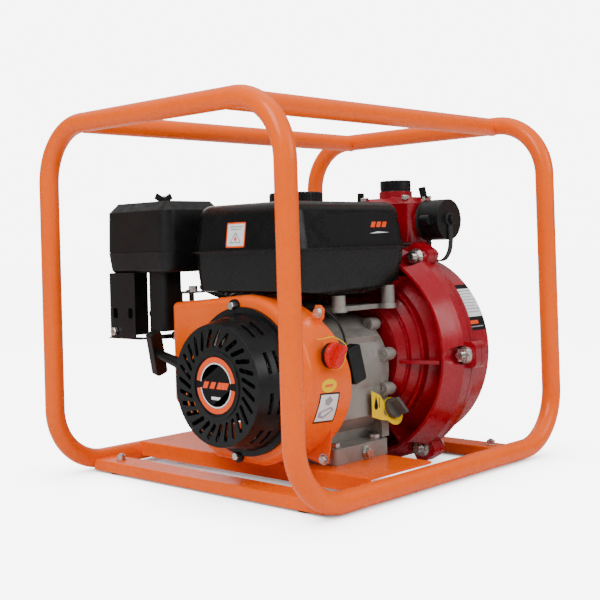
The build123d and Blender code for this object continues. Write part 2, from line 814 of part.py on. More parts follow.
def below_floor(inset):
    with BuildPart(mode=Mode.PRIVATE) as wedge:
        with BuildSketch(Plane.XZ.offset(-200)):
            with BuildLine():
                Polyline(
                    (floor_cuts[0][0][0], floor_cuts[0][0][1] + inset),
                    (floor_cuts[0][1][0], floor_cuts[0][1][1] + inset),
                    (floor_cuts[1][0][0], floor_cuts[1][0][1] + inset),
                    (floor_cuts[1][1][0], floor_cuts[1][1][1] + inset),
                    (tank_mid[0] + 140, 200),
                    (tank_mid[0] - 140, 200),
                    close=True,
                )
            make_face()
        extrude(amount=400)
    return wedge.part


def beside_pump(inset):
    """The hollow in the tank's corner that keeps it clear of the pump's rim."""
    with BuildPart(mode=Mode.PRIVATE) as hollow:
        with BuildSketch(facing_x(31 - inset, pump_y, pump_z)):
            Circle(137 + inset)
        extrude(amount=60)
        with BuildSketch(facing_x(41 - inset, pump_y, pump_z)):
            Circle(150 + inset)
        extrude(amount=50)
        with BuildSketch(facing_x(49 - inset)):
            with Locations(*round_pump(lug_pcd_r, (60, 120))):
                Circle(12.5 + inset)
        extrude(amount=40)
    return hollow.part


with BuildPart() as tank_lower:
    add(lower_block)
    add(below_floor(0) + beside_pump(0), mode=Mode.SUBTRACT)
    add(lower_space - below_floor(tank_wall) - beside_pump(tank_wall), mode=Mode.SUBTRACT)
    extrude(to_extrude=flange_ring(seam_z, 2), amount=-1.5)
    add(beside_pump(0), mode=Mode.SUBTRACT)
tank_shells = [main_solid(tank_upper.part - beside_pump(0)), main_solid(tank_lower.part)]
group(tank_shells, "fuel_tank")

with BuildPart() as fuel_cap:
    with BuildSketch(Plane.XY.offset(tank_top_z + 2)):
        with Locations((cap_x, cap_y)):
            Circle(34.5)
    extrude(amount=12.5)
    fillet(fuel_cap.faces().sort_by(Axis.Z)[-1].edges(), 2.5)
    with BuildSketch(Plane.XY.offset(tank_top_z + 2)):
        with Locations((cap_x, cap_y)):
            with PolarLocations(35.6, 40):
                Circle(1.6)
    extrude(amount=10, mode=Mode.SUBTRACT)
    with BuildSketch(Plane.XY.offset(tank_top_z + 2)):
        with Locations((cap_x, cap_y)):
            Circle(27)
    extrude(amount=6.2, mode=Mode.SUBTRACT)
write(main_solid(fuel_cap.part), "fuel_cap")

# ---- Air cleaner ----
air_x, air_y = (-199.0, -96.0), (54.0, 185.0)
air_mid = ((air_x[0] + air_x[1]) / 2, (air_y[0] + air_y[1]) / 2)
air_seam_z, air_top_z, air_floor_z = 294.0, 359.0, 267.0
air_w, air_d, air_corner = air_x[1] - air_x[0], air_y[1] - air_y[0], 17.0
stud_r = 3.0
lid_wall = 2.5


def air_sketch(z, grow):
    with BuildSketch(Plane.XY.offset(z), mode=Mode.PRIVATE) as outline:
        with Locations(air_mid):
            RectangleRounded(air_w + 2 * grow, air_d + 2 * grow, air_corner + grow)
    return outline.sketch


with BuildPart() as air_base:
    add(air_sketch(air_floor_z, -4))
    extrude(amount=air_seam_z - air_floor_z, taper=-9)
    fillet(air_base.faces().sort_by(Axis.Z)[0].edges(), 6)
    extrude(to_extrude=air_sketch(air_floor_z + 3, -8), amount=40, mode=Mode.SUBTRACT)
    with BuildSketch(Plane.XY.offset(air_floor_z)):
        with Locations(air_mid):
            Circle(6)
    extrude(amount=6)
    with BuildSketch(Plane.XY.offset(air_floor_z)):
        with Locations(air_mid):
            Circle(stud_r)
    extrude(amount=8, mode=Mode.SUBTRACT)
    with BuildSketch(Plane.XY.offset(air_floor_z)):
        with Locations((-168, 96)):
            RectangleRounded(30, 26, 6)
    extrude(amount=6, mode=Mode.SUBTRACT)
write(main_solid(air_base.part), "air_cleaner_base")

with BuildPart() as air_lid:
    add(air_sketch(air_seam_z + 0.4, 0))
    extrude(amount=air_top_z - air_seam_z - 0.4, taper=1.5)
    top_edges = air_lid.faces().sort_by(Axis.Z)[-1].edges()
    chamfer(top_edges, 12)
    extrude(to_extrude=air_sketch(air_seam_z + 0.4, -lid_wall), amount=48, taper=1.5, mode=Mode.SUBTRACT)
    with BuildSketch(Plane.XY.offset(air_seam_z + 40)):
        with Locations(air_mid):
            Circle(stud_r + 0.6)
    extrude(amount=40, mode=Mode.SUBTRACT)
write(main_solid(air_lid.part), "air_cleaner_lid")

with BuildPart() as air_filter:
    with BuildSketch(Plane.XY.offset(air_floor_z + 6.2)):
        with Locations(air_mid):
            RectangleRounded(66, 92, 18)
            RectangleRounded(40, 66, 10, mode=Mode.SUBTRACT)
    extrude(amount=58)
write(air_filter.part, "air_filter")

with BuildPart() as air_stud:
    with BuildSketch(Plane.XY.offset(air_floor_z - 3)):
        with Locations(air_mid):
            Circle(stud_r)
    extrude(amount=air_top_z + 9 - air_floor_z + 3)
    with BuildSketch(Plane.XY.offset(air_floor_z - 3)):
        with Locations(air_mid):
            RegularPolygon(5 * HEX, 6)
    extrude(amount=3)

with BuildPart() as wing_nut:
    with BuildSketch(Plane.XY.offset(air_top_z + 0.4)):
        with Locations(air_mid):
            Circle(5.5)
    extrude(amount=6.5)
    with BuildSketch(Plane.XZ.offset(-air_mid[1] - 1.5)):
        for side in (-1, 1):
            with Locations((air_mid[0] + side * 9, air_top_z + 7)):
                Rectangle(9, 8, rotation=side * 28)
    extrude(amount=3)
    with BuildSketch(Plane.XY.offset(air_top_z)):
        with Locations(air_mid):
            Circle(stud_r + running_gap)
    extrude(amount=30, mode=Mode.SUBTRACT)
write(main_solid(wing_nut.part), "wing_nut")

# ---- Carburettor and its guard ----
carb_y, carb_z = 94.0, 207.0
carb_x = (-152.0, -114.0)
with BuildPart() as carb:
    with BuildSketch(facing_x(carb_x[0], carb_y, carb_z)):
        Circle(14)
    extrude(amount=carb_x[1] - carb_x[0])
    with BuildSketch(Plane.XY.offset(carb_z - 16)):
        with Locations(((carb_x[0] + carb_x[1]) / 2, carb_y)):
            RectangleRounded(26, 30, 4)
    extrude(amount=36)
    with BuildSketch(Plane.XY.offset(carb_z - 38)):
        with Locations(((carb_x[0] + carb_x[1]) / 2, carb_y)):
            Circle(17)
    extrude(amount=22)
    fillet(carb.faces().sort_by(Axis.Z)[0].edges(), 5)
    with BuildSketch(facing_x(carb_x[0], carb_y, carb_z)):
        Circle(9)
    extrude(amount=carb_x[1] - carb_x[0], mode=Mode.SUBTRACT)

with BuildPart() as intake:
    with BuildSketch(facing_x(carb_x[1], carb_y, carb_z)):
        RectangleRounded(34, 34, 8)
    with BuildSketch(facing_x(cylinder_x - fin_half_x, 80, 203)):
        RectangleRounded(30, 30, 8)
    loft()
    with BuildSketch(facing_x(carb_x[1], carb_y, carb_z)):
        Circle(9)
    with BuildSketch(facing_x(cylinder_x - fin_half_x, 80, 203)):
        Circle(9)
    loft(mode=Mode.SUBTRACT)

with BuildPart() as air_elbow:
    with BuildSketch(Plane.XY.offset(carb_z - 16)):
        with Locations((-169, carb_y + 1)):
            RectangleRounded(34, 34, 8)
    extrude(amount=air_floor_z - carb_z + 16)
    with BuildSketch(Plane.XY.offset(carb_z - 13)):
        with Locations((-169, carb_y + 1)):
            RectangleRounded(29, 26, 6)
    extrude(amount=90, mode=Mode.SUBTRACT)
    with BuildSketch(facing_x(-160, carb_y, carb_z)):
        Circle(9)
    extrude(amount=20, mode=Mode.SUBTRACT)
group([main_solid(intake.part), main_solid(air_elbow.part)], "intake_pipes")

guard_x = -197.0
guard_bottom_z = 180.0
with BuildPart() as guard:
    with BuildSketch(Plane.XY.offset(guard_bottom_z)):
        with BuildLine():
            FilletPolyline((guard_x, 124), (guard_x, 184), (-128, 184), radius=10)
            offset(amount=1.2, side=Side.RIGHT)
        make_face()
    extrude(amount=air_floor_z - guard_bottom_z)
    with BuildSketch(Plane.XY.offset(guard_bottom_z)):
        with Locations((guard_x + 9, 148)):
            Rectangle(18, 68)
    extrude(amount=1.5)
    for number in range(5):
        with BuildSketch(Plane.XY.offset(guard_bottom_z + 34 + 9 * number)):
            with Locations((-160, 185.2)):
                Rectangle(44, 2.6)
        extrude(amount=3)
    with BuildSketch(facing_x(guard_x - 3, 150, 214)):
        with Locations((16, 0), (-16, 0)):
            RectangleRounded(10, 14, 3)
        with Locations((15, -24)):
            Circle(3.2)
    extrude(amount=6, mode=Mode.SUBTRACT)
write(main_solid(guard.part), "carburetor_guard")

guard_bolt = hex_bolt(facing_front(guard_x - 1.2, 165, 190), 10, 5, 3, 6)
engine_fasteners = cover_bolts + recoil_bolts + [drain_plug.part, air_stud.part, guard_bolt]
group(engine_fasteners, "engine_fasteners")

lever_x, lever_y, plate_z = -134.0, 84.0, 238.0
with BuildPart() as control_plate:
    with BuildSketch(Plane.XY.offset(plate_z)):
        with Locations((-132, 92)):
            RectangleRounded(34, 34, 4)
    extrude(amount=2)
    with BuildSketch(Plane.XY.offset(carb_z + 20)):
        with Locations((-140, 100), (-120, 100)):
            Circle(3.5)
    extrude(amount=plate_z - carb_z - 20)
    with BuildSketch(Plane.XY.offset(plate_z)):
        with Locations((lever_x, lever_y)):
            Circle(3)
    extrude(amount=9)
with BuildPart() as throttle:
    with BuildSketch(Plane.XY.offset(plate_z + 2.3)):
        with Locations((lever_x, lever_y)):
            Circle(7)
        with Locations((lever_x - 8, lever_y - 11)):
            Rectangle(28, 7, rotation=54)
        with Locations((lever_x, lever_y)):
            Circle(3.05, mode=Mode.SUBTRACT)
    extrude(amount=2)
    with BuildSketch(Plane.XY.offset(plate_z + 2.3)):
        with Locations((lever_x - 15, lever_y - 21)):
            RectangleRounded(10, 11, 3, rotation=54)
    extrude(amount=8)
write(main_solid(throttle.part), "throttle_lever")

choke_plane = Plane(origin=(-145, carb_y + 19, carb_z + 6), x_dir=(1, 0, 0), z_dir=(0, 1, 0))
with BuildPart() as choke:
    with BuildSketch(choke_plane.offset(1.5)):
        Circle(6)
        with Locations((-13, 0)):
            Rectangle(26, 6)
        with Locations((-28, 0)):
            Circle(6)
    extrude(amount=3)
    with BuildSketch(choke_plane.offset(1.5)):
        Circle(2.5)
    extrude(amount=-5)
write(main_solid(choke.part), "choke_lever")
valve_plane = Plane(origin=(-128, carb_y + 17.01, carb_z - 27), x_dir=(1, 0, 0), z_dir=(0, 1, 0))
with BuildPart() as fuel_valve:
    with BuildSketch(valve_plane):
        Circle(7)
    extrude(amount=12)
group([main_solid(carb.part), fuel_valve.part, main_solid(control_plate.part)], "carburetor")
with BuildPart() as valve_lever:
    with BuildSketch(valve_plane.offset(12.3)):
        Circle(6)
        with Locations((-11, 0)):
            Rectangle(22, 6)
    extrude(amount=5)
write(valve_lever.part, "fuel_valve_lever")

# ---- Muffler ----
muffler_x, muffler_y, muffler_z = (-30.0, 62.0), (76.0, 156.0), (236.0, 312.0)
with BuildPart() as muffler:
    with BuildSketch(Plane.XY.offset(muffler_z[0])):
        with Locations((sum(muffler_x) / 2, sum(muffler_y) / 2)):
            RectangleRounded(muffler_x[1] - muffler_x[0], muffler_y[1] - muffler_y[0], 20)
    extrude(amount=muffler_z[1] - muffler_z[0])
    fillet(muffler.faces().sort_by(Axis.Z)[0].edges(), 8)
    fillet(muffler.faces().sort_by(Axis.Z)[-1].edges(), 8)
    with BuildSketch(facing_x(muffler_x[1] - 6, 100, 262)):
        Circle(9)
    extrude(amount=16)
    with BuildSketch(facing_x(muffler_x[1] - 6, 100, 262)):
        Circle(7)
    extrude(amount=16, mode=Mode.SUBTRACT)
with BuildPart() as shield:
    with BuildSketch(Plane.XY.offset(muffler_z[0] + 16)):
        with Locations((sum(muffler_x) / 2, sum(muffler_y) / 2)):
            RectangleRounded(muffler_x[1] - muffler_x[0] + 14, muffler_y[1] - muffler_y[0] + 14, 26)
    extrude(amount=muffler_z[1] - muffler_z[0] - 8)
    fillet(shield.faces().sort_by(Axis.Z)[-1].edges(), 10)
    with BuildSketch(Plane.XY.offset(muffler_z[0] + 15)):
        with Locations((sum(muffler_x) / 2, sum(muffler_y) / 2)):
            RectangleRounded(muffler_x[1] - muffler_x[0] + 11, muffler_y[1] - muffler_y[0] + 11, 24)
    extrude(amount=muffler_z[1] - muffler_z[0] - 9, mode=Mode.SUBTRACT)
    with BuildSketch(Plane.XZ.offset(-200)):
        with Locations((sum(muffler_x) / 2, muffler_z[0] + 42)):
            with GridLocations(13, 18, 6, 2):
                SlotOverall(14, 5, rotation=90)
    extrude(amount=170, mode=Mode.SUBTRACT)
    with BuildSketch(facing_x(muffler_x[1] - 10, 100, 262)):
        Circle(12)
    extrude(amount=30, mode=Mode.SUBTRACT)
write(main_solid(shield.part), "muffler_shield")
with BuildPart() as exhaust:
    with BuildLine() as exhaust_route:
        FilletPolyline((-6, 86, 206), (22, 86, 206), (22, 98, 240), radius=17)
    with BuildSketch(Plane(origin=exhaust_route.line @ 0, z_dir=exhaust_route.line % 0)):
        Circle(12)
        Circle(10, mode=Mode.SUBTRACT)
    sweep()
    with BuildSketch(facing_x(-6, 86, 206)):
        RectangleRounded(44, 26, 6)
        Circle(10, mode=Mode.SUBTRACT)
    extrude(amount=5)
    with BuildSketch(Plane.XY.offset(muffler_z[0])):
        Rectangle(400, 400)
    extrude(amount=60, mode=Mode.SUBTRACT)
group([main_solid(muffler.part), main_solid(exhaust.part)], "muffler")

# ---- Pump ----

def turned(profile):
    """A ring turned about the pump's middle from points of (x, radius)."""
    with BuildPart(mode=Mode.PRIVATE) as ring:
        with BuildSketch(pump_section):
            with BuildLine():
                Polyline(*profile, close=True)
            make_face()
        revolve(axis=pump_axis)
    return ring.part


seal_x = (66.0, 92.0)
with BuildPart() as adapter:
    add(
        turned(
            [
                (18, 0), (18, 74), (26, 82), (68, 124), (68, 128), (36, 130), (36, 134),
                (58, 143), (64, 146), (80, 146), (80, 116), (74, 116), (30, 72), (24, 60), (24, 0),
            ]
        )
    )
    for ring_r, front_x in ((101, 36), (85, 26)):
        add(turned([(front_x, ring_r - 2), (front_x, ring_r + 2), (60, ring_r + 2), (60, ring_r - 2)]))
    with BuildSketch(facing_x(16, pump_y, pump_z - 8)):
        with PolarLocations(102, 6):
            Rectangle(50, 4.5)
    extrude(amount=56)
    add(
        turned([(10, 0), (10, 140), (35.9, 140), (35.9, 127), (19, 78), (17.9, 74), (17.9, 0)]),
        mode=Mode.SUBTRACT,
    )
    add(turned([(74, 0), (74, 122), (80, 118), (80, 0)]))
    with BuildSketch(facing_x(engine_face_x, crank_y, crank_z)):
        Circle(60)
    extrude(amount=12)
    with BuildSketch(facing_x(22, crank_y, crank_z)):
        Circle(26)
    extrude(amount=54)
    with BuildSketch(facing_x(flange_x - lug_t)):
        for angle, (y, z) in zip(lug_angles, round_pump(lug_pcd_r - 4, lug_angles)):
            with Locations((y, z)):
                RectangleRounded(40, 34, 9, rotation=angle)
        with Locations((pump_y, pump_z)):
            Circle(133, mode=Mode.SUBTRACT)
    extrude(amount=lug_t)
    with BuildSketch(facing_x(10, crank_y, crank_z)):
        Circle(20)
    extrude(amount=76, mode=Mode.SUBTRACT)
    with BuildSketch(facing_x(flange_x - 30)):
        with Locations(*round_pump(lug_pcd_r, lug_angles)):
            Circle(5.2)
    extrude(amount=30, mode=Mode.SUBTRACT)
    with BuildSketch(facing_x(flange_x - lug_t)):
        with Locations(*round_pump(lug_pcd_r, lug_angles)):
            Circle(12)
    extrude(amount=-34, mode=Mode.SUBTRACT)
    with BuildSketch(facing_x(10)):
        with Locations(*round_crank(40, (45, 135, 225, 315))):
            Circle(4.3)
    extrude(amount=20, mode=Mode.SUBTRACT)
write(main_solid(adapter.part), "pump_adapter")

with BuildPart() as seal:
    with BuildSketch(facing_x(seal_x[0], crank_y, crank_z)):
        Circle(19.9)
        Circle(10.4, mode=Mode.SUBTRACT)
    extrude(amount=seal_x[1] - seal_x[0] - 10)
    with BuildSketch(facing_x(seal_x[1] - 10, crank_y, crank_z)):
        Circle(16)
        Circle(10.4, mode=Mode.SUBTRACT)
    extrude(amount=8)

neck_x, neck_y = (93.0, 151.0), (-106.0, -18.0)
neck_mid = (122.0, -62.0)
neck_top_z = 294.0
port_x = 216.0
suction_r, suction_bore_r = 29.8, 23.0
gasket_t = 1.0
casing_front_x = flange_x + gasket_t

with BuildPart() as gasket:
    with BuildSketch(facing_x(flange_x)):
        with Locations((pump_y, pump_z)):
            Circle(140)
            Circle(119, mode=Mode.SUBTRACT)
        with Locations(*round_pump(lug_pcd_r, lug_angles)):
            Circle(5.2, mode=Mode.SUBTRACT)
    extrude(amount=gasket_t)

with BuildPart() as casing:
    add(
        turned(
            [
                (casing_front_x, 0), (casing_front_x, 146), (casing_front_x + 7, 146),
                (casing_front_x + 10, drum_r), (146, drum_r), (156, 122), (163, 108), (166, 88),
                (166, 0),
            ]
        )
    )
    with BuildSketch(facing_x(casing_front_x)):
        for angle, (y, z) in zip(lug_angles, round_pump(lug_pcd_r - 4, lug_angles)):
            with Locations((y, z)):
                RectangleRounded(40, 34, 9, rotation=angle)
    extrude(amount=9)
    for angle in lug_angles:
        out = Plane(
            origin=(casing_front_x + 9, pump_y, pump_z),
            x_dir=(1, 0, 0),
            z_dir=(0, cos(radians(angle)), sin(radians(angle))),
        )
        with BuildSketch(out.offset(120)):
            with BuildLine():
                Polyline((-3, 18), (25, 0), (-3, -18), (-3, -14.5), (19, 0), (-3, 14.5), close=True)
            make_face()
        extrude(amount=30)
    with BuildSketch(Plane.XY.offset(240)):
        with Locations(neck_mid):
            RectangleRounded(neck_x[1] - neck_x[0], neck_y[1] - neck_y[0], 14)
    extrude(amount=neck_top_z - 240)
    with BuildSketch(facing_x(160, crank_y, crank_z)):
        Circle(52)
    extrude(amount=18)
    with BuildSketch(facing_x(170, crank_y, crank_z)):
        Circle(suction_r - 1)
    extrude(amount=port_x - 170)
    for number in range(10):
        with BuildSketch(facing_x(port_x - 4 - 3 * number, crank_y, crank_z)):
            Circle(suction_r)
        extrude(amount=1.6)
    add(
        turned([(casing_front_x - 1, 0), (casing_front_x - 1, 118), (146, 118), (157, 100), (157, 0)]),
        mode=Mode.SUBTRACT,
    )
    with BuildSketch(Plane.XY.offset(230)):
        with Locations(neck_mid):
            RectangleRounded(neck_x[1] - neck_x[0] - 18, neck_y[1] - neck_y[0] - 18, 8)
    extrude(amount=80, mode=Mode.SUBTRACT)
    with BuildSketch(facing_x(150, crank_y, crank_z)):
        Circle(suction_bore_r)
    extrude(amount=80, mode=Mode.SUBTRACT)
    with BuildSketch(facing_x(casing_front_x)):
        with Locations(*round_pump(lug_pcd_r, lug_angles)):
            Circle(5.2)
    extrude(amount=9, mode=Mode.SUBTRACT)
    with BuildSketch(Plane((118, pump_y, pump_z - drum_r - 4))):
        Circle(12)
    extrude(amount=10)
    with BuildSketch(Plane((118, pump_y, pump_z - drum_r - 5))):
        Circle(6)
    extrude(amount=30, mode=Mode.SUBTRACT)
write(main_solid(casing.part), "pump_casing")

with BuildPart() as pump_drain:
    with BuildSketch(Plane((118, pump_y, pump_z - drum_r - 4))):
        Circle(5.9)
    extrude(amount=12)
    with BuildSketch(Plane((118, pump_y, pump_z - drum_r - 4))):
        RegularPolygon(7 * HEX, 6)
    extrude(amount=-5)

casing_bolts = []
for y, z in round_pump(lug_pcd_r, lug_angles):
    with BuildPart() as casing_bolt:
        with BuildSketch(facing_x(flange_x - lug_t - 14, y, z)):
            Circle(5)
        extrude(amount=14 + lug_t + gasket_t + 9)
        with BuildSketch(facing_x(flange_x - lug_t - 1.6, y, z)):
            Circle(11)
        extrude(amount=1.6)
        with BuildSketch(facing_x(flange_x - lug_t - 1.6, y, z)):
            RegularPolygon(8 * HEX, 6)
        extrude(amount=-8)
        with BuildSketch(facing_x(casing_front_x + 9, y, z)):
            RegularPolygon(8 * HEX, 6)
        extrude(amount=6.5)
    casing_bolts.append(casing_bolt.part)

impeller_r, eye_r = 92.0, 26.0
eye_ring_r = eye_r + 6
impeller_x = (102.0, 124.0)
with BuildPart() as impeller:
    for x, thick in ((impeller_x[0], 3), (impeller_x[1] - 3, 3)):
        with BuildSketch(facing_x(x, crank_y, crank_z)):
            Circle(impeller_r)
        extrude(amount=thick)
    with BuildSketch(facing_x(impeller_x[1] - 4, crank_y, crank_z)):
        Circle(eye_r)
    extrude(amount=12, mode=Mode.SUBTRACT)
    with BuildSketch(facing_x(impeller_x[1] - 3, crank_y, crank_z)):
        Circle(eye_ring_r)
        Circle(eye_r, mode=Mode.SUBTRACT)
    extrude(amount=9)
    with BuildSketch(facing_x(impeller_x[0] - 8, crank_y, crank_z)):
        Circle(18)
    extrude(amount=24)
    with BuildSketch(facing_x(impeller_x[0] + 3, crank_y, crank_z)):
        with PolarLocations(55, 6):
            SlotOverall(66, 4, rotation=38)
    extrude(amount=impeller_x[1] - impeller_x[0] - 6)
    with BuildSketch(facing_x(impeller_x[0] - 10, crank_y, crank_z)):
        Circle(10.02)
    extrude(amount=40, mode=Mode.SUBTRACT)
with BuildPart() as impeller_nut:
    with BuildSketch(facing_x(impeller_x[0] + 16, crank_y, crank_z)):
        RegularPolygon(11 * HEX, 6)
        Circle(10.02, mode=Mode.SUBTRACT)
    extrude(amount=9)
group([main_solid(impeller.part), impeller_nut.part], "impeller")
with BuildPart() as wear_ring:
    with BuildSketch(facing_x(impeller_x[1] + 0.4, crank_y, crank_z)):
        Circle(eye_r + 14)
        Circle(eye_ring_r + 0.4, mode=Mode.SUBTRACT)
    extrude(amount=157 - impeller_x[1] - 0.4)
group([seal.part, wear_ring.part], "pump_seals")

# ---- Discharge manifold and its caps ----
manifold_z = (296.0, 350.0)
outlet_z = 326.0
outlet_r, outlet_bore = 23.8, 18.0
plate_screws = ((97, -98), (97, -26), (147, -98), (147, -26))
plate_screw_z = 356.0
outlet_tip = 84.0
with BuildPart() as manifold_gasket:
    with BuildSketch(Plane.XY.offset(neck_top_z)):
        with Locations(neck_mid):
            RectangleRounded(neck_x[1] - neck_x[0] + 4, neck_y[1] - neck_y[0] + 4, 16)
            RectangleRounded(neck_x[1] - neck_x[0] - 18, neck_y[1] - neck_y[0] - 18, 8, mode=Mode.SUBTRACT)
    extrude(amount=2)
group([gasket.part, manifold_gasket.part], "pump_gaskets")
with BuildPart() as manifold:
    with BuildSketch(Plane.XY.offset(manifold_z[0])):
        with Locations(neck_mid):
            RectangleRounded(neck_x[1] - neck_x[0], neck_y[1] - neck_y[0], 14)
    with BuildSketch(Plane.XY.offset(manifold_z[1])):
        with Locations(neck_mid):
            RectangleRounded(68, 104, 14)
    loft()
    with BuildSketch(Plane.XY.offset(manifold_z[1])):
        with Locations(neck_mid):
            RectangleRounded(68, 104, 14)
    extrude(amount=9, taper=55)
    with BuildSketch(Plane.XZ.offset(-neck_mid[1])):
        with Locations((neck_mid[0], outlet_z)):
            Circle(outlet_r)
    extrude(amount=outlet_tip, both=True)
    with BuildSketch(Plane.XY.offset(manifold_z[1])):
        with Locations(neck_mid):
            Circle(23)
    extrude(amount=18)
    with BuildSketch(Plane.XY.offset(manifold_z[0])):
        with Locations(neck_mid):
            RectangleRounded(42, 70, 8)
    extrude(amount=manifold_z[1] - manifold_z[0] - 4, mode=Mode.SUBTRACT)
    with BuildSketch(Plane.XZ.offset(-neck_mid[1])):
        with Locations((neck_mid[0], outlet_z)):
            Circle(outlet_bore)
    extrude(amount=outlet_tip, both=True, mode=Mode.SUBTRACT)
    with BuildSketch(Plane.XY.offset(manifold_z[1] - 10)):
        with Locations(neck_mid):
            Circle(16.4)
    extrude(amount=40, mode=Mode.SUBTRACT)
    for radius, seat_z in ((6.2, plate_screw_z), (3.1, plate_screw_z - 3)):
        with BuildSketch(Plane.XY.offset(seat_z)):
            with Locations(*plate_screws):
                Circle(radius)
        extrude(amount=12, mode=Mode.SUBTRACT)
write(main_solid(manifold.part), "discharge_manifold")

seal_gap = 0.3
prime_z = manifold_z[1] + 18
with BuildPart() as prime_seal:
    with BuildSketch(Plane.XY.offset(prime_z + seal_gap)):
        with Locations(neck_mid):
            Circle(21)
            Circle(16.8, mode=Mode.SUBTRACT)
    extrude(amount=1.6)
write(prime_seal.part, "priming_cap_seal")
with BuildPart() as prime_cap:
    with BuildSketch(Plane.XY.offset(prime_z + 2 * seal_gap + 1.6)):
        with Locations(neck_mid):
            Circle(21.5)
            with PolarLocations(21.5, 4, start_angle=20):
                Rectangle(5, 9, mode=Mode.SUBTRACT)
    extrude(amount=13)
    with BuildSketch(Plane.XY.offset(prime_z + 2 * seal_gap + 9)):
        with Locations(neck_mid):
            Circle(15)
    extrude(amount=10, mode=Mode.SUBTRACT)
    with BuildSketch(Plane.XY.offset(prime_z + 2 * seal_gap + 9)):
        with Locations(neck_mid):
            Rectangle(31, 5)
    extrude(amount=5)
    with BuildSketch(Plane.XY.offset(prime_z - 12)):
        with Locations(neck_mid):
            Circle(16)
    extrude(amount=18)
write(main_solid(prime_cap.part), "priming_cap")

cap_face, cap_r = 90.0, 27.5
for name, side in (("near", -1), ("far", 1)):
    out = Plane(
        origin=(neck_mid[0], neck_mid[1], outlet_z), x_dir=(-side, 0, 0), z_dir=(0, side, 0)
    )
    with BuildPart() as cap_seal:
        with BuildSketch(out.offset(outlet_tip + seal_gap)):
            Circle(outlet_r)
            Circle(outlet_bore, mode=Mode.SUBTRACT)
        extrude(amount=1.6)
    write(cap_seal.part, "discharge_seal_" + name)
    with BuildPart() as cap:
        with BuildSketch(out.offset(58)):
            Circle(cap_r)
        extrude(amount=cap_face - 58)
        with BuildSketch(out.offset(58)):
            Circle(outlet_r + 0.4)
        extrude(amount=outlet_tip + 2 * seal_gap + 1.6 - 58, mode=Mode.SUBTRACT)
        with BuildSketch(out.offset(68)):
            with Locations((33, 0), (-33, 0)):
                Circle(6.5)
            Rectangle(66, 13)
            Circle(cap_r - 2, mode=Mode.SUBTRACT)
        extrude(amount=14)
        with BuildSketch(out.offset(cap_face)):
            Circle(4)
        extrude(amount=6)
        with BuildSketch(out.offset(cap_face + 4.5)):
            Circle(7)
        extrude(amount=3.5)
    write(main_solid(cap.part), "discharge_cap_" + name)

manifold_screws = [hex_bolt(Plane((x, y, plate_screw_z)), 10, 5, 3, 2) for x, y in plate_screws]
group(casing_bolts + manifold_screws + [pump_drain.part], "pump_bolts")


# ---- Ignition, oil filler, alarm and cap strap ----
coil_x = (-140.0, -114.0)
coil_y, coil_z = crank_y + 34, crank_z + flywheel_r + 10
with BuildPart() as coil:
    with BuildSketch(facing_x(coil_x[0], coil_y, coil_z)):
        Rectangle(34, 16)
    extrude(amount=coil_x[1] - coil_x[0])
plug_top = plug_axis.offset(20)
nozzle = Plane(origin=plug_top.offset(14).origin, z_dir=(-1, -0.35, -0.1))
with BuildPart() as plug_cap:
    with BuildSketch(plug_top):
        Circle(9)
    extrude(amount=24)
    with BuildSketch(nozzle):
        Circle(6)
    extrude(amount=20, taper=3)
    with BuildSketch(plug_top):
        Circle(5.6)
    extrude(amount=13.5, mode=Mode.SUBTRACT)
group([coil.part, main_solid(plug_cap.part)], "ignition_parts")


def cord_tube(name, points):
    """The route of a cord: straight runs joined by tangent arcs as large as they allow."""
    points = [Vector(*point) for point in points]
    steps = [b - a for a, b in zip(points, points[1:])]
    radii = []
    for before, after in zip(steps, steps[1:]):
        half_turn = radians(before.get_angle(after)) / 2
        radii.append(0.45 * min(before.length, after.length) / tan(half_turn))
    with BuildLine() as route:
        FilletPolyline(*points, radius=radii)
    route = route.wire()
    print(name, "radii", [round(r, 1) for r in radii], "length", round(route.length, 1))
    return route


lead_r, wire_r = 3.5, 1.5
lead_route = cord_tube(
    "ignition_lead",
    [
        tuple(nozzle.offset(20).origin), tuple(nozzle.offset(32).origin), (-110, 80, 241),
        (-110, 60, 235), (-108, 43, 230), (-112, 25, 226), (-121, 9, 224), (-121, -11, 224),
    ],
)
wire_route = cord_tube(
    "alarm_wire",
    [
        (-84, -141, 171), (-90, -142, 189), (-98, -139, 206), (-106, -126, 219),
        (-113, -107, 226), (-119, -86, 227), (-124, -65, 224), (-124, -45, 224),
    ],
)
for name, line, r in (("ignition_lead", lead_route, lead_r), ("alarm_wire", wire_route, wire_r)):
    with BuildPart() as cord:
        with BuildSketch(Plane(origin=line @ 0, z_dir=line % 0)):
            Circle(r)
        sweep(path=line)
    write(cord.part, name)

with BuildPart() as alarm_box:
    with BuildSketch(Plane(origin=(-72, -134, 150), x_dir=(1, 0, 0), z_dir=(0, -1, 0))):
        RectangleRounded(24, 46, 4, rotation=15)
    extrude(amount=14)
    fillet(alarm_box.faces().sort_by(Axis.Y)[0].edges(), 2)
group([main_solid(switch_base.part), alarm_box.part], "electrical_boxes")

with BuildPart() as oil_cap:
    with BuildSketch(filler_plane.offset(-8)):
        Circle(9.6)
    extrude(amount=12)
    with BuildSketch(filler_plane.offset(4)):
        Circle(13)
    extrude(amount=6)
    with BuildSketch(filler_plane.offset(9)):
        RectangleRounded(24, 5, 2, rotation=-60)
    extrude(amount=14)
write(main_solid(oil_cap.part), "oil_filler_cap")

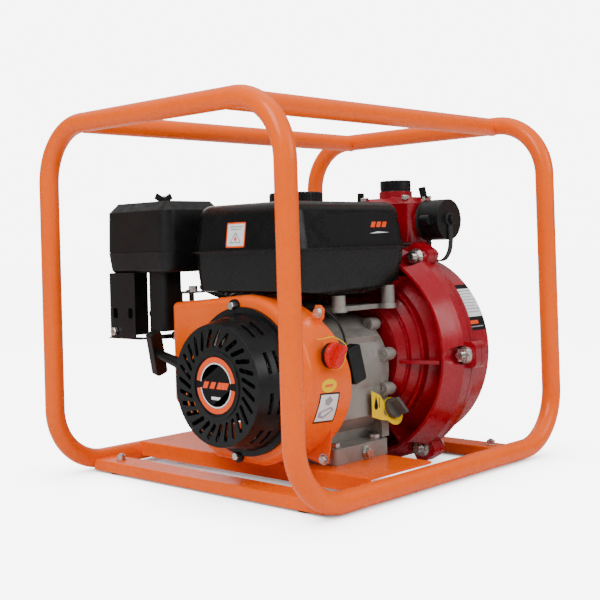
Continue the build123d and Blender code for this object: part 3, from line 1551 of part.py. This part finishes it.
strap_w, strap_t = 8.0, 2.2
strap_y = neck_mid[1] - cap_face - 0.4
ring_y = -115.2
strap_route = cord_tube(
    "cap_strap",
    [
        (neck_mid[0], strap_y - 1.2, outlet_z - 8), (neck_mid[0], strap_y - 1.6, 300),
        (neck_mid[0], strap_y + 1, 283), (neck_mid[0], strap_y + 10, 271),
        (neck_mid[0], strap_y + 25, 270.5), (neck_mid[0], ring_y - 7, 278.5),
        (neck_mid[0], ring_y - 2.4, 291), (neck_mid[0], ring_y - 2, 300),
    ],
)
with BuildPart() as strap:
    with BuildSketch(Plane(origin=strap_route @ 0, x_dir=(1, 0, 0), z_dir=strap_route % 0)):
        Rectangle(strap_w, strap_t)
    sweep(path=strap_route)
    with BuildSketch(facing_side(neck_mid[0], strap_y, outlet_z)):
        Circle(9.5)
    extrude(amount=2.4)
    with BuildSketch(facing_side(neck_mid[0], ring_y, outlet_z)):
        Circle(cap_r)
    extrude(amount=4)
    with BuildSketch(facing_side(neck_mid[0], ring_y, outlet_z)):
        Circle(outlet_r + 0.4)
    extrude(amount=4, mode=Mode.SUBTRACT)
    with BuildSketch(facing_side(neck_mid[0], strap_y, outlet_z)):
        Circle(4.5)
    extrude(amount=4, mode=Mode.SUBTRACT)
write(main_solid(strap.part), "cap_strap")
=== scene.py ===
import bpy
import bmesh
from math import cos, pi, radians, sin
from mathutils import Matrix, Vector
from mathutils.bvhtree import BVHTree


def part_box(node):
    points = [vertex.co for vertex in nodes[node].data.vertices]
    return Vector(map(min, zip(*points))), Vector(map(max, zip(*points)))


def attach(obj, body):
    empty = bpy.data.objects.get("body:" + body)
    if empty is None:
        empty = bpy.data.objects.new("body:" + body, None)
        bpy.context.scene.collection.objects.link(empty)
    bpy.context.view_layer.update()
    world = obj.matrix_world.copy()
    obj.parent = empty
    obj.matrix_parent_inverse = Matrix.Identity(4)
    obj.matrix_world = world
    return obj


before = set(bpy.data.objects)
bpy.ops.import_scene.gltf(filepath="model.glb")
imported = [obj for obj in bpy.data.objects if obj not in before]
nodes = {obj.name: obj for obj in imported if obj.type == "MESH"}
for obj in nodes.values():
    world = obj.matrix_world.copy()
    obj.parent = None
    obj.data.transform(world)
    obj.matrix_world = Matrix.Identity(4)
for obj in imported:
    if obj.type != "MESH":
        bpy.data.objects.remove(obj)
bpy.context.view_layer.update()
MM = 0.001


# ---- Materials ----
def material(name, color, rough=0.5, metal=0.0, vary=0.15, patch=25.0, grain=900.0, bump=0.12,
             depth=0.0003, edge=0.0006, wear=None, wear_amount=0.5, coat=0.0, rough_vary=0.12, grime=0.0,
             specular=0.35):
    """Colour in patches, a fine grain in the surface, rounded edges and worn corners."""
    mat = bpy.data.materials.new(name)
    mat.use_nodes = True
    tree = mat.node_tree
    new, link = tree.nodes.new, tree.links.new
    shader = tree.nodes["Principled BSDF"]
    shader.inputs["Metallic"].default_value = metal
    shader.inputs["Coat Weight"].default_value = coat
    shader.inputs["Coat Roughness"].default_value = 0.12
    shader.inputs["Specular IOR Level"].default_value = specular
    coords = new("ShaderNodeTexCoord")

    def noise(scale, detail=4.0):
        node = new("ShaderNodeTexNoise")
        node.inputs["Scale"].default_value = scale
        node.inputs["Detail"].default_value = detail
        link(coords.outputs["Object"], node.inputs["Vector"])
        return node.outputs["Fac"]

    def ramp(value, low, high):
        node = new("ShaderNodeMapRange")
        node.inputs["From Min"].default_value = low[0]
        node.inputs["From Max"].default_value = high[0]
        node.inputs["To Min"].default_value = low[1]
        node.inputs["To Max"].default_value = high[1]
        link(value, node.inputs["Value"])
        return node.outputs["Result"]

    def mixed(fac, a, b):
        node = new("ShaderNodeMix")
        node.data_type = "RGBA"
        for value, socket in ((fac, "Factor"), (a, "A"), (b, "B")):
            target = [s for s in node.inputs if s.name == socket and s.enabled][0]
            if isinstance(value, tuple):
                target.default_value = value
            else:
                link(value, target)
        return [s for s in node.outputs if s.enabled][0]

    dark = tuple(c * (1 - vary) for c in color) + (1,)
    light = tuple(min(1, c * (1 + vary)) for c in color) + (1,)
    patches = ramp(noise(patch), (0.3, 0.0), (0.7, 1.0))
    base = mixed(patches, dark, light)
    if grime:
        dirt = ramp(noise(patch * 3, 6.0), (0.5, 0.0), (0.75, grime))
        base = mixed(dirt, base, (0.03, 0.025, 0.02, 1))
    bevel = new("ShaderNodeBevel")
    bevel.samples = 4
    bevel.inputs["Radius"].default_value = edge
    if wear:
        geometry = new("ShaderNodeNewGeometry")
        dot = new("ShaderNodeVectorMath")
        dot.operation = "DOT_PRODUCT"
        link(bevel.outputs["Normal"], dot.inputs[0])
        link(geometry.outputs["Normal"], dot.inputs[1])
        rubbed = ramp(dot.outputs["Value"], (0.97, wear_amount), (0.995, 0.0))
        spots = ramp(noise(patch * 8, 5.0), (0.45, 0.0), (0.6, 1.0))
        both = new("ShaderNodeMath")
        both.operation = "MULTIPLY"
        link(rubbed, both.inputs[0])
        link(spots, both.inputs[1])
        base = mixed(both.outputs["Value"], base, tuple(wear) + (1,))
    link(base, shader.inputs["Base Color"])
    fine = noise(grain, 6.0)
    link(ramp(noise(patch * 4), (0.3, max(0.03, rough - rough_vary)), (0.7, min(1, rough + rough_vary))),
         shader.inputs["Roughness"])
    bumps = new("ShaderNodeBump")
    bumps.inputs["Strength"].default_value = bump
    bumps.inputs["Distance"].default_value = depth
    link(fine, bumps.inputs["Height"])
    link(bevel.outputs["Normal"], bumps.inputs["Normal"])
    link(bumps.outputs["Normal"], shader.inputs["Normal"])
    return mat


orange = material("orange_enamel", (1.0, 0.125, 0.0), 0.28, vary=0.05, patch=12, grain=260, bump=0.05,
                  wear=(0.98, 0.25, 0.02), wear_amount=0.4, coat=0.05, rough_vary=0.06, specular=0.22)
shroud_orange = material("shroud_enamel", (1.0, 0.125, 0.0), 0.26, vary=0.05, patch=14, grain=420, bump=0.04,
                         wear=(0.98, 0.25, 0.02), wear_amount=0.3, coat=0.08, rough_vary=0.06, specular=0.25)
pump_red = material("pump_red_enamel", (0.30, 0.0012, 0.010), 0.27, vary=0.16, patch=16, grain=420, bump=0.30,
                    depth=0.0005, edge=0.0012, wear=(0.45, 0.02, 0.03), coat=0.15, rough_vary=0.09)
cast = material("cast_aluminium", (0.33, 0.315, 0.285), 0.52, 0.55, vary=0.14, patch=22, grain=700, bump=0.45,
                depth=0.0005, edge=0.001, wear=(0.62, 0.60, 0.56), grime=0.25)
machined = material("machined_steel", (0.45, 0.44, 0.42), 0.32, 0.9, vary=0.1, patch=60, grain=1500, bump=0.1,
                    wear=(0.7, 0.7, 0.68))
zinc = material("zinc_plate", (0.60, 0.59, 0.56), 0.26, 0.95, vary=0.2, patch=120, grain=1500, bump=0.12,
                edge=0.0005, wear=(0.85, 0.85, 0.82), grime=0.15)
black_paint = material("tank_black_enamel", (0.0045, 0.0052, 0.005), 0.26, vary=0.25, patch=18, grain=380,
                       bump=0.04, edge=0.0015, wear=(0.02, 0.02, 0.02), rough_vary=0.07, specular=0.22)
black_plastic = material("black_moulded_plastic", (0.005, 0.006, 0.006), 0.34, vary=0.2, patch=20, grain=1600,
                         bump=0.2, depth=0.0002, edge=0.0008, wear=(0.035, 0.035, 0.035), rough_vary=0.08,
                         specular=0.25)
soft_plastic = material("grained_plastic", (0.006, 0.007, 0.007), 0.44, vary=0.2, patch=22, grain=2200,
                        bump=0.35, depth=0.0002, edge=0.0008, wear=(0.035, 0.035, 0.035), specular=0.25)
gray_plastic = material("gray_plastic", (0.085, 0.082, 0.075), 0.5, vary=0.15, patch=40, grain=1800, bump=0.3,
                        wear=(0.16, 0.15, 0.14))
rubber = material("rubber", (0.018, 0.018, 0.018), 0.62, vary=0.2, patch=40, grain=1200, bump=0.3,
                  wear=(0.06, 0.06, 0.06))
red_plastic = material("red_plastic", (0.70, 0.004, 0.004), 0.3, vary=0.08, patch=60, grain=1500, bump=0.1,
                       wear=(0.8, 0.15, 0.1))
iron = material("cast_iron", (0.09, 0.09, 0.092), 0.55, 0.6, grain=600, bump=0.5, depth=0.0006,
                wear=(0.3, 0.3, 0.3))
brass = material("turned_bronze", (0.55, 0.36, 0.12), 0.35, 0.9, grain=500, bump=0.3, wear=(0.8, 0.6, 0.3))
felt = material("pleated_felt", (0.42, 0.37, 0.24), 0.85, vary=0.2, patch=60, grain=900, bump=0.7,
                depth=0.001)
fibre = material("gasket_fibre", (0.10, 0.105, 0.10), 0.8, vary=0.2, patch=80, grain=1500, bump=0.4)
rope_mat = material("braided_rope", (0.02, 0.02, 0.022), 0.8, vary=0.3, patch=400, grain=900, bump=0.8,
                    depth=0.0008)
heat_steel = material("heat_tinted_steel", (0.30, 0.27, 0.24), 0.45, 0.85, vary=0.25, patch=18, grain=700,
                      bump=0.3, wear=(0.5, 0.48, 0.44), grime=0.5)
yellow = material("yellow_sheet", (1.0, 0.66, 0.0), 0.5, vary=0.03, patch=50, grain=1200, bump=0.05,
                  wear=(1.0, 0.8, 0.1), wear_amount=0.2, specular=0.08)
white = material("white_print", (0.86, 0.87, 0.88), 0.34, edge=0.0, vary=0.05, patch=60, grain=1500,
                 bump=0.04)
gloss_black = material("gloss_black_print", (0.003, 0.003, 0.004), 0.6, vary=0.2, patch=40, grain=1000,
                       bump=0.02, edge=0.0, rough_vary=0.03, specular=0.2)
orange_print = material("orange_print", (0.95, 0.085, 0.005), 0.34, edge=0.0, vary=0.05, patch=60,
                        grain=1500, bump=0.03)
gray_print = material("gray_print", (0.33, 0.35, 0.37), 0.4, edge=0.0, vary=0.1, patch=60, grain=1500,
                      bump=0.03)

finish = {
    orange: ("hoop_front", "hoop_rear", "base_rail_right", "base_rail_left", "roof_rails", "frame_channels",
             "engine_bed"),
    shroud_orange: ("fan_shroud",),
    pump_red: ("pump_adapter", "pump_casing", "discharge_manifold"),
    cast: ("crankcase", "crankcase_cover", "cylinder_head", "carburetor", "piston", "connecting_rod"),
    machined: ("crankshaft", "recoil_spring", "spark_plug"),
    zinc: ("frame_bolts", "engine_fasteners", "pump_bolts", "starter_cup", "throttle_lever"),
    black_paint: ("fuel_tank", "valve_cover", "muffler_shield"),
    black_plastic: ("recoil_housing", "recoil_reel", "fuel_cap", "starter_handle", "choke_lever",
                    "fuel_valve_lever", "priming_cap", "discharge_cap_near", "discharge_cap_far",
                    "electrical_boxes", "wing_nut"),
    soft_plastic: ("air_cleaner_base", "air_cleaner_lid", "carburetor_guard", "intake_pipes"),
    gray_plastic: ("oil_filler_cap",),
    rubber: ("rubber_feet", "ignition_parts", "ignition_lead", "alarm_wire", "cap_strap", "pump_seals",
             "priming_cap_seal", "discharge_seal_near", "discharge_seal_far"),
    red_plastic: ("switch_knob",),
    iron: ("flywheel",),
    brass: ("impeller",),
    felt: ("air_filter",),
    fibre: ("pump_gaskets",),
    rope_mat: ("starter_rope",),
    heat_steel: ("muffler",),
}
for mat, names in finish.items():
    for name in names:
        for material_slot in nodes[name].material_slots:
            material_slot.material = mat


# ---- Making pieces ----
def box_mm(node):
    """A node's lowest and highest corners and its middle, to a thousandth of a mm."""
    low, high = (Vector([round(c / MM, 3) for c in corner]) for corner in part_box(node))
    return low, high, (low + high) / 2


def piece(name, data, body):
    """An object that rides on a body."""
    obj = bpy.data.objects.new(name, data)
    bpy.context.collection.objects.link(obj)
    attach(obj, body)
    return obj


def as_object(name, bm, mat, body, smooth=True):
    mesh = bpy.data.meshes.new(name)
    bm.to_mesh(mesh)
    bm.free()
    mesh.materials.append(mat)
    for face in mesh.polygons:
        face.use_smooth = smooth
    return piece(name, mesh, body)


def basis(normal, up):
    """A matrix whose columns are right, up and normal."""
    normal = Vector(normal).normalized()
    right = Vector(up).cross(normal).normalized()
    return Matrix((right, normal.cross(right), normal)).transposed()


def surface_of(node):
    obj = nodes[node]
    return BVHTree.FromPolygons([v.co for v in obj.data.vertices], [p.vertices for p in obj.data.polygons])


def rounded_rect(w, h, r, cx=0.0, cy=0.0, steps=5):
    points = []
    for sx, sy, start in ((1, 1, 0), (-1, 1, 90), (-1, -1, 180), (1, -1, 270)):
        for i in range(steps + 1):
            a = radians(start + 90 * i / steps)
            points.append((cx + sx * (w / 2 - r) + r * cos(a), cy + sy * (h / 2 - r) + r * sin(a)))
    return points


def ellipse(rx, ry, cx=0.0, cy=0.0, count=40):
    return [(cx + rx * cos(2 * pi * i / count), cy + ry * sin(2 * pi * i / count)) for i in range(count)]


def arc(radius, start, end, count, cx=0.0, cy=0.0):
    angles = [radians(start + (end - start) * i / count) for i in range(count + 1)]
    return [(cx + radius * cos(a), cy + radius * sin(a)) for a in angles]


def arc_band(inner, outer, start, end, count=40):
    return arc(outer, start, end, count) + arc(inner, end, start, count)


print_step = 4 * MM
print_reach = 40 * MM


def decal(name, node, body, origin, normal, up, layers):
    """A printed label. Each layer is (outline in mm, material, lift in mm), laid on a node or else flat."""
    turn = basis(normal, up)
    origin = Vector(origin) * MM
    out = turn.col[2]
    surface = surface_of(node) if node else None
    places, faces, kinds, mats = [], [], [], []
    for outline, mat, lift in layers:
        if mat not in mats:
            mats.append(mat)
        bm = bmesh.new()
        face = bm.faces.new([bm.verts.new((x * MM, y * MM, 0)) for x, y in outline])
        bmesh.ops.triangulate(bm, faces=[face])
        for _ in range(5):
            long_edges = [e for e in bm.edges if e.calc_length() > print_step]
            if long_edges:
                bmesh.ops.subdivide_edges(bm, edges=long_edges, cuts=1)
                bmesh.ops.triangulate(bm, faces=bm.faces)
        bm.verts.index_update()
        bm.normal_update()
        start = len(places)
        for vert in bm.verts:
            place = origin + turn @ vert.co
            hit = surface.ray_cast(place + out * print_reach, -out)[0] if surface else None
            places.append((hit if hit else place) + out * lift * MM)
        for face in bm.faces:
            corners = face.verts if face.normal.z > 0 else reversed(face.verts)
            faces.append([start + v.index for v in corners])
            kinds.append(mats.index(mat))
        bm.free()
    mesh = bpy.data.meshes.new(name)
    mesh.from_pydata(places, [], faces)
    for mat in mats:
        mesh.materials.append(mat)
    for face, kind in zip(mesh.polygons, kinds):
        face.material_index = kind
    return piece(name, mesh, body)


def prism(name, body, mat, origin, normal, up, outline, thick, bevel=0.3, holes=()):
    """A plate of this outline in mm: its back lies at the origin and its face stands out along the normal."""
    turn = basis(normal, up)
    origin = Vector(origin) * MM
    bm = bmesh.new()
    loops = [outline] + list(holes)
    edges = []
    for loop in loops:
        verts = [bm.verts.new(origin + turn @ Vector((x * MM, y * MM, 0))) for x, y in loop]
        edges += [bm.edges.new((a, b)) for a, b in zip(verts, verts[1:] + verts[:1])]
    made = bmesh.ops.triangle_fill(bm, use_beauty=True, edges=edges)["geom"]
    faces = [g for g in made if isinstance(g, bmesh.types.BMFace)]
    grown = bmesh.ops.extrude_face_region(bm, geom=faces)["geom"]
    bmesh.ops.translate(bm, verts=[g for g in grown if isinstance(g, bmesh.types.BMVert)],
                        vec=turn.col[2] * thick * MM)
    bmesh.ops.recalc_face_normals(bm, faces=bm.faces)
    obj = as_object(name, bm, mat, body, smooth=False)
    if bevel:
        rounding = obj.modifiers.new("rounding", "BEVEL")
        rounding.width = bevel * MM
        rounding.segments = 2
        rounding.limit_method = "ANGLE"
    return obj


def lathe(name, body, mat, origin, axis, profile, count=48):
    """A turned piece: profile is (along the axis, radius) in mm, from the foot to a closed or pointed end."""
    turn = basis(axis, (0.3, 0.5, 1) if abs(Vector(axis).z) < 0.9 else (1, 0, 0))
    origin = Vector(origin) * MM
    bm = bmesh.new()
    rings = []
    for along, radius in profile:
        around = [Vector((x, y, along)) * MM for x, y in ellipse(radius, radius, count=count)]
        rings.append([bm.verts.new(origin + turn @ place) for place in around])
    for low, high in zip(rings, rings[1:]):
        for i in range(count):
            bm.faces.new((low[i], low[(i + 1) % count], high[(i + 1) % count], high[i]))
    if profile[0][1] > 0.01:
        bm.faces.new(list(reversed(rings[0])))
    if profile[-1][1] > 0.01:
        bm.faces.new(rings[-1])
    bmesh.ops.recalc_face_normals(bm, faces=bm.faces)
    obj = as_object(name, bm, mat, body)
    mod = obj.modifiers.new("edges", "EDGE_SPLIT")
    mod.split_angle = radians(40)
    return obj


def wire(name, body, mat, points, radius):
    """A round wire along a smooth line led by its control points, in mm."""
    curve = bpy.data.curves.new(name, "CURVE")
    curve.dimensions = "3D"
    curve.bevel_depth = radius * MM
    curve.bevel_resolution = 4
    curve.use_fill_caps = True
    spline = curve.splines.new("NURBS")
    spline.points.add(len(points) - 1)
    for point, place in zip(spline.points, points):
        point.co = (place[0] * MM, place[1] * MM, place[2] * MM, 1)
    spline.order_u = 3
    spline.use_endpoint_u = True
    spline.resolution_u = 12
    curve.materials.append(mat)
    return piece(name, curve, body)


# ---- Labels ----
to_front, to_left, upright = (-1, 0, 0), (0, -1, 0), (0, 0, 1)


def bar(width, x, y, height=1.4):
    return rounded_rect(width, height, 0.5, x, y)


def leaning_bar(left, right, low, high, lean=4):
    """A bar with slanted ends: left and right say where its lower corners lie."""
    return [(left, low), (left + lean, high), (right + lean, high), (right, low)]


def label_the_tank():
    low, high, middle = box_mm("fuel_tank")
    draft = radians(8)
    place = (low.x + 8, middle.y + 2, high.z - 44.5)
    out, up = (-cos(draft), 0, sin(draft)), (sin(draft), 0, cos(draft))
    decal("tank_label", "fuel_tank", "pump_unit", place, out, up, [
        (rounded_rect(33, 31, 2), orange_print, 0.10),
        (rounded_rect(29, 27, 1), white, 0.16),
        (bar(23, 0, 10), gray_print, 0.22),
        (bar(19, 0, 7), gray_print, 0.22),
        ([(0, 4), (-10, -10), (10, -10)], gray_print, 0.22),
        ([(0, 1), (-7.6, -8.6), (7.6, -8.6)], white, 0.28),
        (ellipse(2.2, 2.6, 0, -5.2), orange_print, 0.34),
    ])
    place = (middle.x + 19, low.y + 8.5, high.z - 43)
    plate = [(-70, 17), (-64, 20), (30, 25), (58, 21), (72, 13), (76, 2), (76, -15), (70, -19), (-58, -19),
             (-64, -15)]
    swoosh = [(12, -4), (30, -1.5), (52, -3), (30, -3.6)]
    bars = [(leaning_bar(left, left + 8, 4, 11), orange_print, 0.2) for left in (16, 27, 38)]
    decal("tank_side_panel", "fuel_tank", "pump_unit", place, (0, -cos(draft), sin(draft)), upright,
          [(plate, gloss_black, 0.12)] + bars + [(swoosh, white, 0.2)])


def label_the_recoil():
    middle = box_mm("recoil_reel")[2]
    place = (box_mm("recoil_housing")[0].x + 1.5, middle.y, middle.z)
    decal("recoil_label", None, "pump_unit", place, to_front, upright, [
        (ellipse(34.5, 34.5, count=64), gloss_black, 0.15),
        (arc_band(27, 33.2, 8, 172), orange_print, 0.25),
        (arc_band(27, 33.2, 188, 352), orange_print, 0.25),
        (arc_band(25, 26.6, 8, 172), white, 0.25),
        (arc_band(25, 26.6, 188, 352), white, 0.25),
        (leaning_bar(-23, -15, -4, 4), orange_print, 0.25),
        (leaning_bar(-11, -3, -4, 4), orange_print, 0.25),
        (leaning_bar(1, 19, -4, 4), orange_print, 0.25),
        (rounded_rect(16, 3.5, 1, 0, -15), white, 0.25),
    ])


def label_the_shroud():
    low, high, _ = box_mm("fan_shroud")
    column = low.x + 36
    place = (column, low.y, high.z - 105.5)
    decal("yellow_sticker", "fan_shroud", "pump_unit", place, to_left, upright, [
        (ellipse(13, 7.8), yellow, 0.12),
        (rounded_rect(14, 3, 1), orange_print, 0.2),
    ])
    place = (column, low.y, high.z - 131)
    decal("shroud_label", "fan_shroud", "pump_unit", place, to_left, upright, [
        ([(-15, 18), (19, 16), (17, -19), (-20, -17)], gloss_black, 0.12),
        ([(-13, 16), (17, 14), (15, -17), (-18, -15)], white, 0.2),
        ([(-6, 9), (2, 13), (8, 8), (2, 2), (-4, 3)], gray_print, 0.28),
        ([(-13, -4), (6, 0), (12, -4), (-4, -13), (-14, -10)], gray_print, 0.28),
        ([(-9, -5), (5, -2), (8, -4), (-5, -10), (-10, -8)], white, 0.34),
    ])


def label_the_pump():
    low, _, middle = box_mm("pump_casing")
    place = (low.x + 45, middle.y - 114, middle.z + 57.6)
    lines = [(bar(40 - 4 * (i % 3), -1.5 * (i % 3), 23 - 4.4 * i, 1.1), gray_print, 0.28) for i in range(8)]
    decal("pump_label", "pump_casing", "pump_unit", place, (0, -0.95, 0.31), (0, 0.31, 0.95), [
        (rounded_rect(46, 66, 1), gloss_black, 0.12),
        (rounded_rect(46, 41, 0.5, 0, 6), white, 0.2),
        (rounded_rect(20, 5, 1, -4, -22), orange_print, 0.2),
        (bar(30, 0, -28), gray_print, 0.2),
    ] + lines)


label_the_tank()
label_the_recoil()
label_the_shroud()
label_the_pump()


# ---- Small fittings ----
def hang_oil_tag():
    """A sheet tag threaded on the oil filler neck, bent so that its tail hangs flat on the crankcase."""
    tilt = radians(20)
    out = Vector((0, -cos(tilt), sin(tilt)))
    neck = Vector((6, -133, 84)) + out * 2.3
    sheet, tail_x, tail_y = 0.5, -14.5, -134.5
    tail = [(-21, -12), (-38, -6), (-38, 29), (-21, 21)]
    tag = prism("oil_tag", "pump_unit", yellow, neck, out, (0, sin(tilt), cos(tilt)),
                tail + arc(18, 132, -144, 23, 2, -3), sheet, bevel=0.1, holes=[ellipse(10.3, 10.3)])
    for vert in tag.data.vertices:
        if vert.co.x < tail_x * MM:
            outer = (vert.co - neck * MM).dot(out) > 0.6 * sheet * MM
            vert.co.y = (tail_y - (sheet if outer else 0)) * MM
    decal("oil_tag_mark", None, "pump_unit", (-23.5, tail_y - sheet, 96), to_left, upright, [
        (ellipse(3.6, 4.6, 0, -4), gloss_black, 0.15),
        ([(0, 9), (-3.2, -1.6), (3.2, -1.6)], gloss_black, 0.2),
        (rounded_rect(1.2, 14, 0.4, 6.4, 0), gloss_black, 0.15),
    ])


def seal_the_filter_lid():
    _, high, middle = box_mm("air_cleaner_base")
    prism("filter_lid_seal", "pump_unit", rubber, (middle.x, middle.y, high.z - 0.1), upright, (0, 1, 0),
          rounded_rect(100.5, 128.5, 16), 0.5, bevel=0, holes=[rounded_rect(86, 114, 10)])


def fit_vent_tabs():
    _, high, middle = box_mm("discharge_manifold")
    for name, dx, dy, drop, tilt in (("near", 6, -43, 13.5, -0.2), ("far", -18, 49, 17.5, 0.05)):
        x, y, z = middle.x + dx, middle.y + dy, high.z - drop
        lathe("vent_stem_" + name, "pump_unit", zinc, (x, y, z), upright,
              [(0, 3.2), (4.5, 3.2), (4.5, 0.005)])
        prism("vent_tab_" + name, "pump_unit", black_plastic, (x + 1.6, y + 1.8, z + 10), (-0.66, -0.75, 0),
              (tilt * 0.75, -tilt * 0.66, 1), rounded_rect(9, 16, 1), 5, bevel=0.6)


def fit_shroud_ears():
    low, high, _ = box_mm("fan_shroud")
    ear_t, bolt_r, bolt_head = 2, 5.6, 4.5
    high_ear = [(9, 4), (4, 9), (-4, 9), (-9, 0), (-30, -24), (-14, -30), (8, -6)]
    low_ear = [(8, 3), (6, -4), (0, -7.5), (-12, -5), (-34, 0), (-34, 12), (6, 46), (15, 42)]
    for name, dx, dy, drop, outline in (("high", 50, 25, 22.5, high_ear), ("low", 59, 30.5, 197.5, low_ear)):
        x, y, z = low.x + dx, low.y + dy, high.z - drop
        face = (x - ear_t, y, z)
        prism("shroud_ear_" + name, "pump_unit", shroud_orange, (x, y, z), to_front, upright,
              outline, ear_t, bevel=0.4)
        prism("shroud_bolt_" + name, "pump_unit", zinc, face, to_front, upright,
              ellipse(bolt_r, bolt_r, count=6), bolt_head, bevel=0.5)
        lathe("shroud_washer_" + name, "pump_unit", zinc, face, to_front, [(0, 7), (1, 7), (1, 5)])


def thread_the_seal_wire():
    """A thin wire loop from behind the engine switch over its knob and back below it."""
    low, _, middle = box_mm("switch_knob")
    route = [(-9, 29.5, 19), (-12, 17, 20), (-3, 12, 23), (11, 12, 17.5), (25, 13, 10), (21, 12, 0),
             (15, 11, -12), (5, 12, -17), (2, 19, -16)]
    wire("switch_seal_wire", "pump_unit", yellow,
         [(middle.x + dx, low.y + dy, middle.z + dz) for dx, dy, dz in route], 0.6)


hang_oil_tag()
seal_the_filter_lid()
fit_vent_tabs()
fit_shroud_ears()
thread_the_seal_wire()


# ---- Floor ----
def add_floor(half_width=30, shade=0.86, glow_strength=6.2, shadow_reach=0.12):
    """A pale floor whose glow, seen only by the camera, fades near the object through ambient occlusion: a
    painted contact shadow.
    """
    bm = bmesh.new()
    bmesh.ops.create_grid(bm, x_segments=2, y_segments=2, size=half_width)
    mesh = bpy.data.meshes.new("floor")
    bm.to_mesh(mesh)
    bm.free()
    floor = bpy.data.objects.new("floor", mesh)
    bpy.context.collection.objects.link(floor)
    mat = bpy.data.materials.new("pale_floor")
    mat.use_nodes = True
    tree = mat.node_tree
    new, link = tree.nodes.new, tree.links.new
    shader = tree.nodes["Principled BSDF"]
    shader.inputs["Base Color"].default_value = (shade, shade, shade, 1)
    shader.inputs["Roughness"].default_value = 0.55
    glow = new("ShaderNodeEmission")
    # ambient occlusion tints the glow darker near the object, painting a contact shadow on the floor
    near = new("ShaderNodeAmbientOcclusion")
    near.inputs["Distance"].default_value = shadow_reach
    link(near.outputs["Color"], glow.inputs["Color"])
    rays = new("ShaderNodeLightPath")
    power = new("ShaderNodeMath")
    power.operation = "MULTIPLY"
    power.inputs[1].default_value = glow_strength
    link(rays.outputs["Is Camera Ray"], power.inputs[0])
    link(power.outputs["Value"], glow.inputs["Strength"])
    total = new("ShaderNodeAddShader")
    link(shader.outputs["BSDF"], total.inputs[0])
    link(glow.outputs["Emission"], total.inputs[1])
    link(total.outputs["Shader"], tree.nodes["Material Output"].inputs["Surface"])
    mesh.materials.append(mat)


# ---- Light ----
def add_world(seen_strength=7.0, lit_strength=0.36):
    """A white background for the camera, and a weaker one that lights the object."""
    world = bpy.data.worlds.new("studio")
    world.use_nodes = True
    tree = world.node_tree
    new, link = tree.nodes.new, tree.links.new
    seen = tree.nodes["Background"]
    seen.inputs["Color"].default_value = (1, 1, 1, 1)
    seen.inputs["Strength"].default_value = seen_strength
    soft = new("ShaderNodeBackground")
    soft.inputs["Strength"].default_value = lit_strength
    rays = new("ShaderNodeLightPath")
    choose = new("ShaderNodeMixShader")
    link(rays.outputs["Is Camera Ray"], choose.inputs["Fac"])
    link(soft.outputs["Background"], choose.inputs[1])
    link(seen.outputs["Background"], choose.inputs[2])
    link(choose.outputs["Shader"], tree.nodes["World Output"].inputs["Surface"])
    bpy.context.scene.world = world


def sun_light(name, strength, spread):
    data = bpy.data.lights.new(name, "SUN")
    data.energy = strength
    data.angle = radians(spread)
    bpy.context.collection.objects.link(bpy.data.objects.new(name, data))


def area_light(name, place, size, power, target=(0, 0, 0.2)):
    data = bpy.data.lights.new(name, "AREA")
    data.shape = "RECTANGLE"
    data.size, data.size_y = size
    data.energy = power
    lamp = bpy.data.objects.new(name, data)
    lamp.location = place
    lamp.rotation_euler = (Vector(target) - Vector(place)).to_track_quat("-Z", "Y").to_euler()
    bpy.context.collection.objects.link(lamp)


# ---- Camera ----
def add_camera(place, azimuth, elevation, roll, lens, shift_y):
    """A camera on this azimuth and elevation, in degrees, rolled about its line of view."""
    azimuth, elevation, roll = radians(azimuth), radians(elevation), radians(roll)
    back = Vector((sin(azimuth) * cos(elevation), -cos(azimuth) * cos(elevation), sin(elevation)))
    right = (-back).cross(Vector((0, 0, 1))).normalized()
    up = right.cross(-back).normalized()
    rolled_right = right * cos(roll) + up * sin(roll)
    rolled_up = up * cos(roll) - right * sin(roll)
    data = bpy.data.cameras.new("camera")
    data.sensor_width = 36
    data.lens = lens
    data.shift_y = shift_y
    camera = bpy.data.objects.new("camera", data)
    turn = Matrix((rolled_right, rolled_up, back)).transposed().to_4x4()
    camera.matrix_world = Matrix.Translation(place) @ turn
    bpy.context.collection.objects.link(camera)
    bpy.context.scene.camera = camera


add_floor()
add_world()
sun_light("sky", 1.25, 120)
area_light("key", (-1.6, -0.5, 1.7), (0.8, 1.2), 34)
area_light("side", (0.6, -1.9, 1.1), (1.2, 1.0), 15)
area_light("top", (0.1, 0.2, 2.2), (1.6, 1.6), 8)
area_light("back", (0.9, 1.7, 1.0), (1.2, 1.0), 6)
add_camera((-1.0674, -0.9946, 0.2944), azimuth=-46.74, elevation=-0.64, roll=-1.68,
           lens=64.33, shift_y=-0.108)
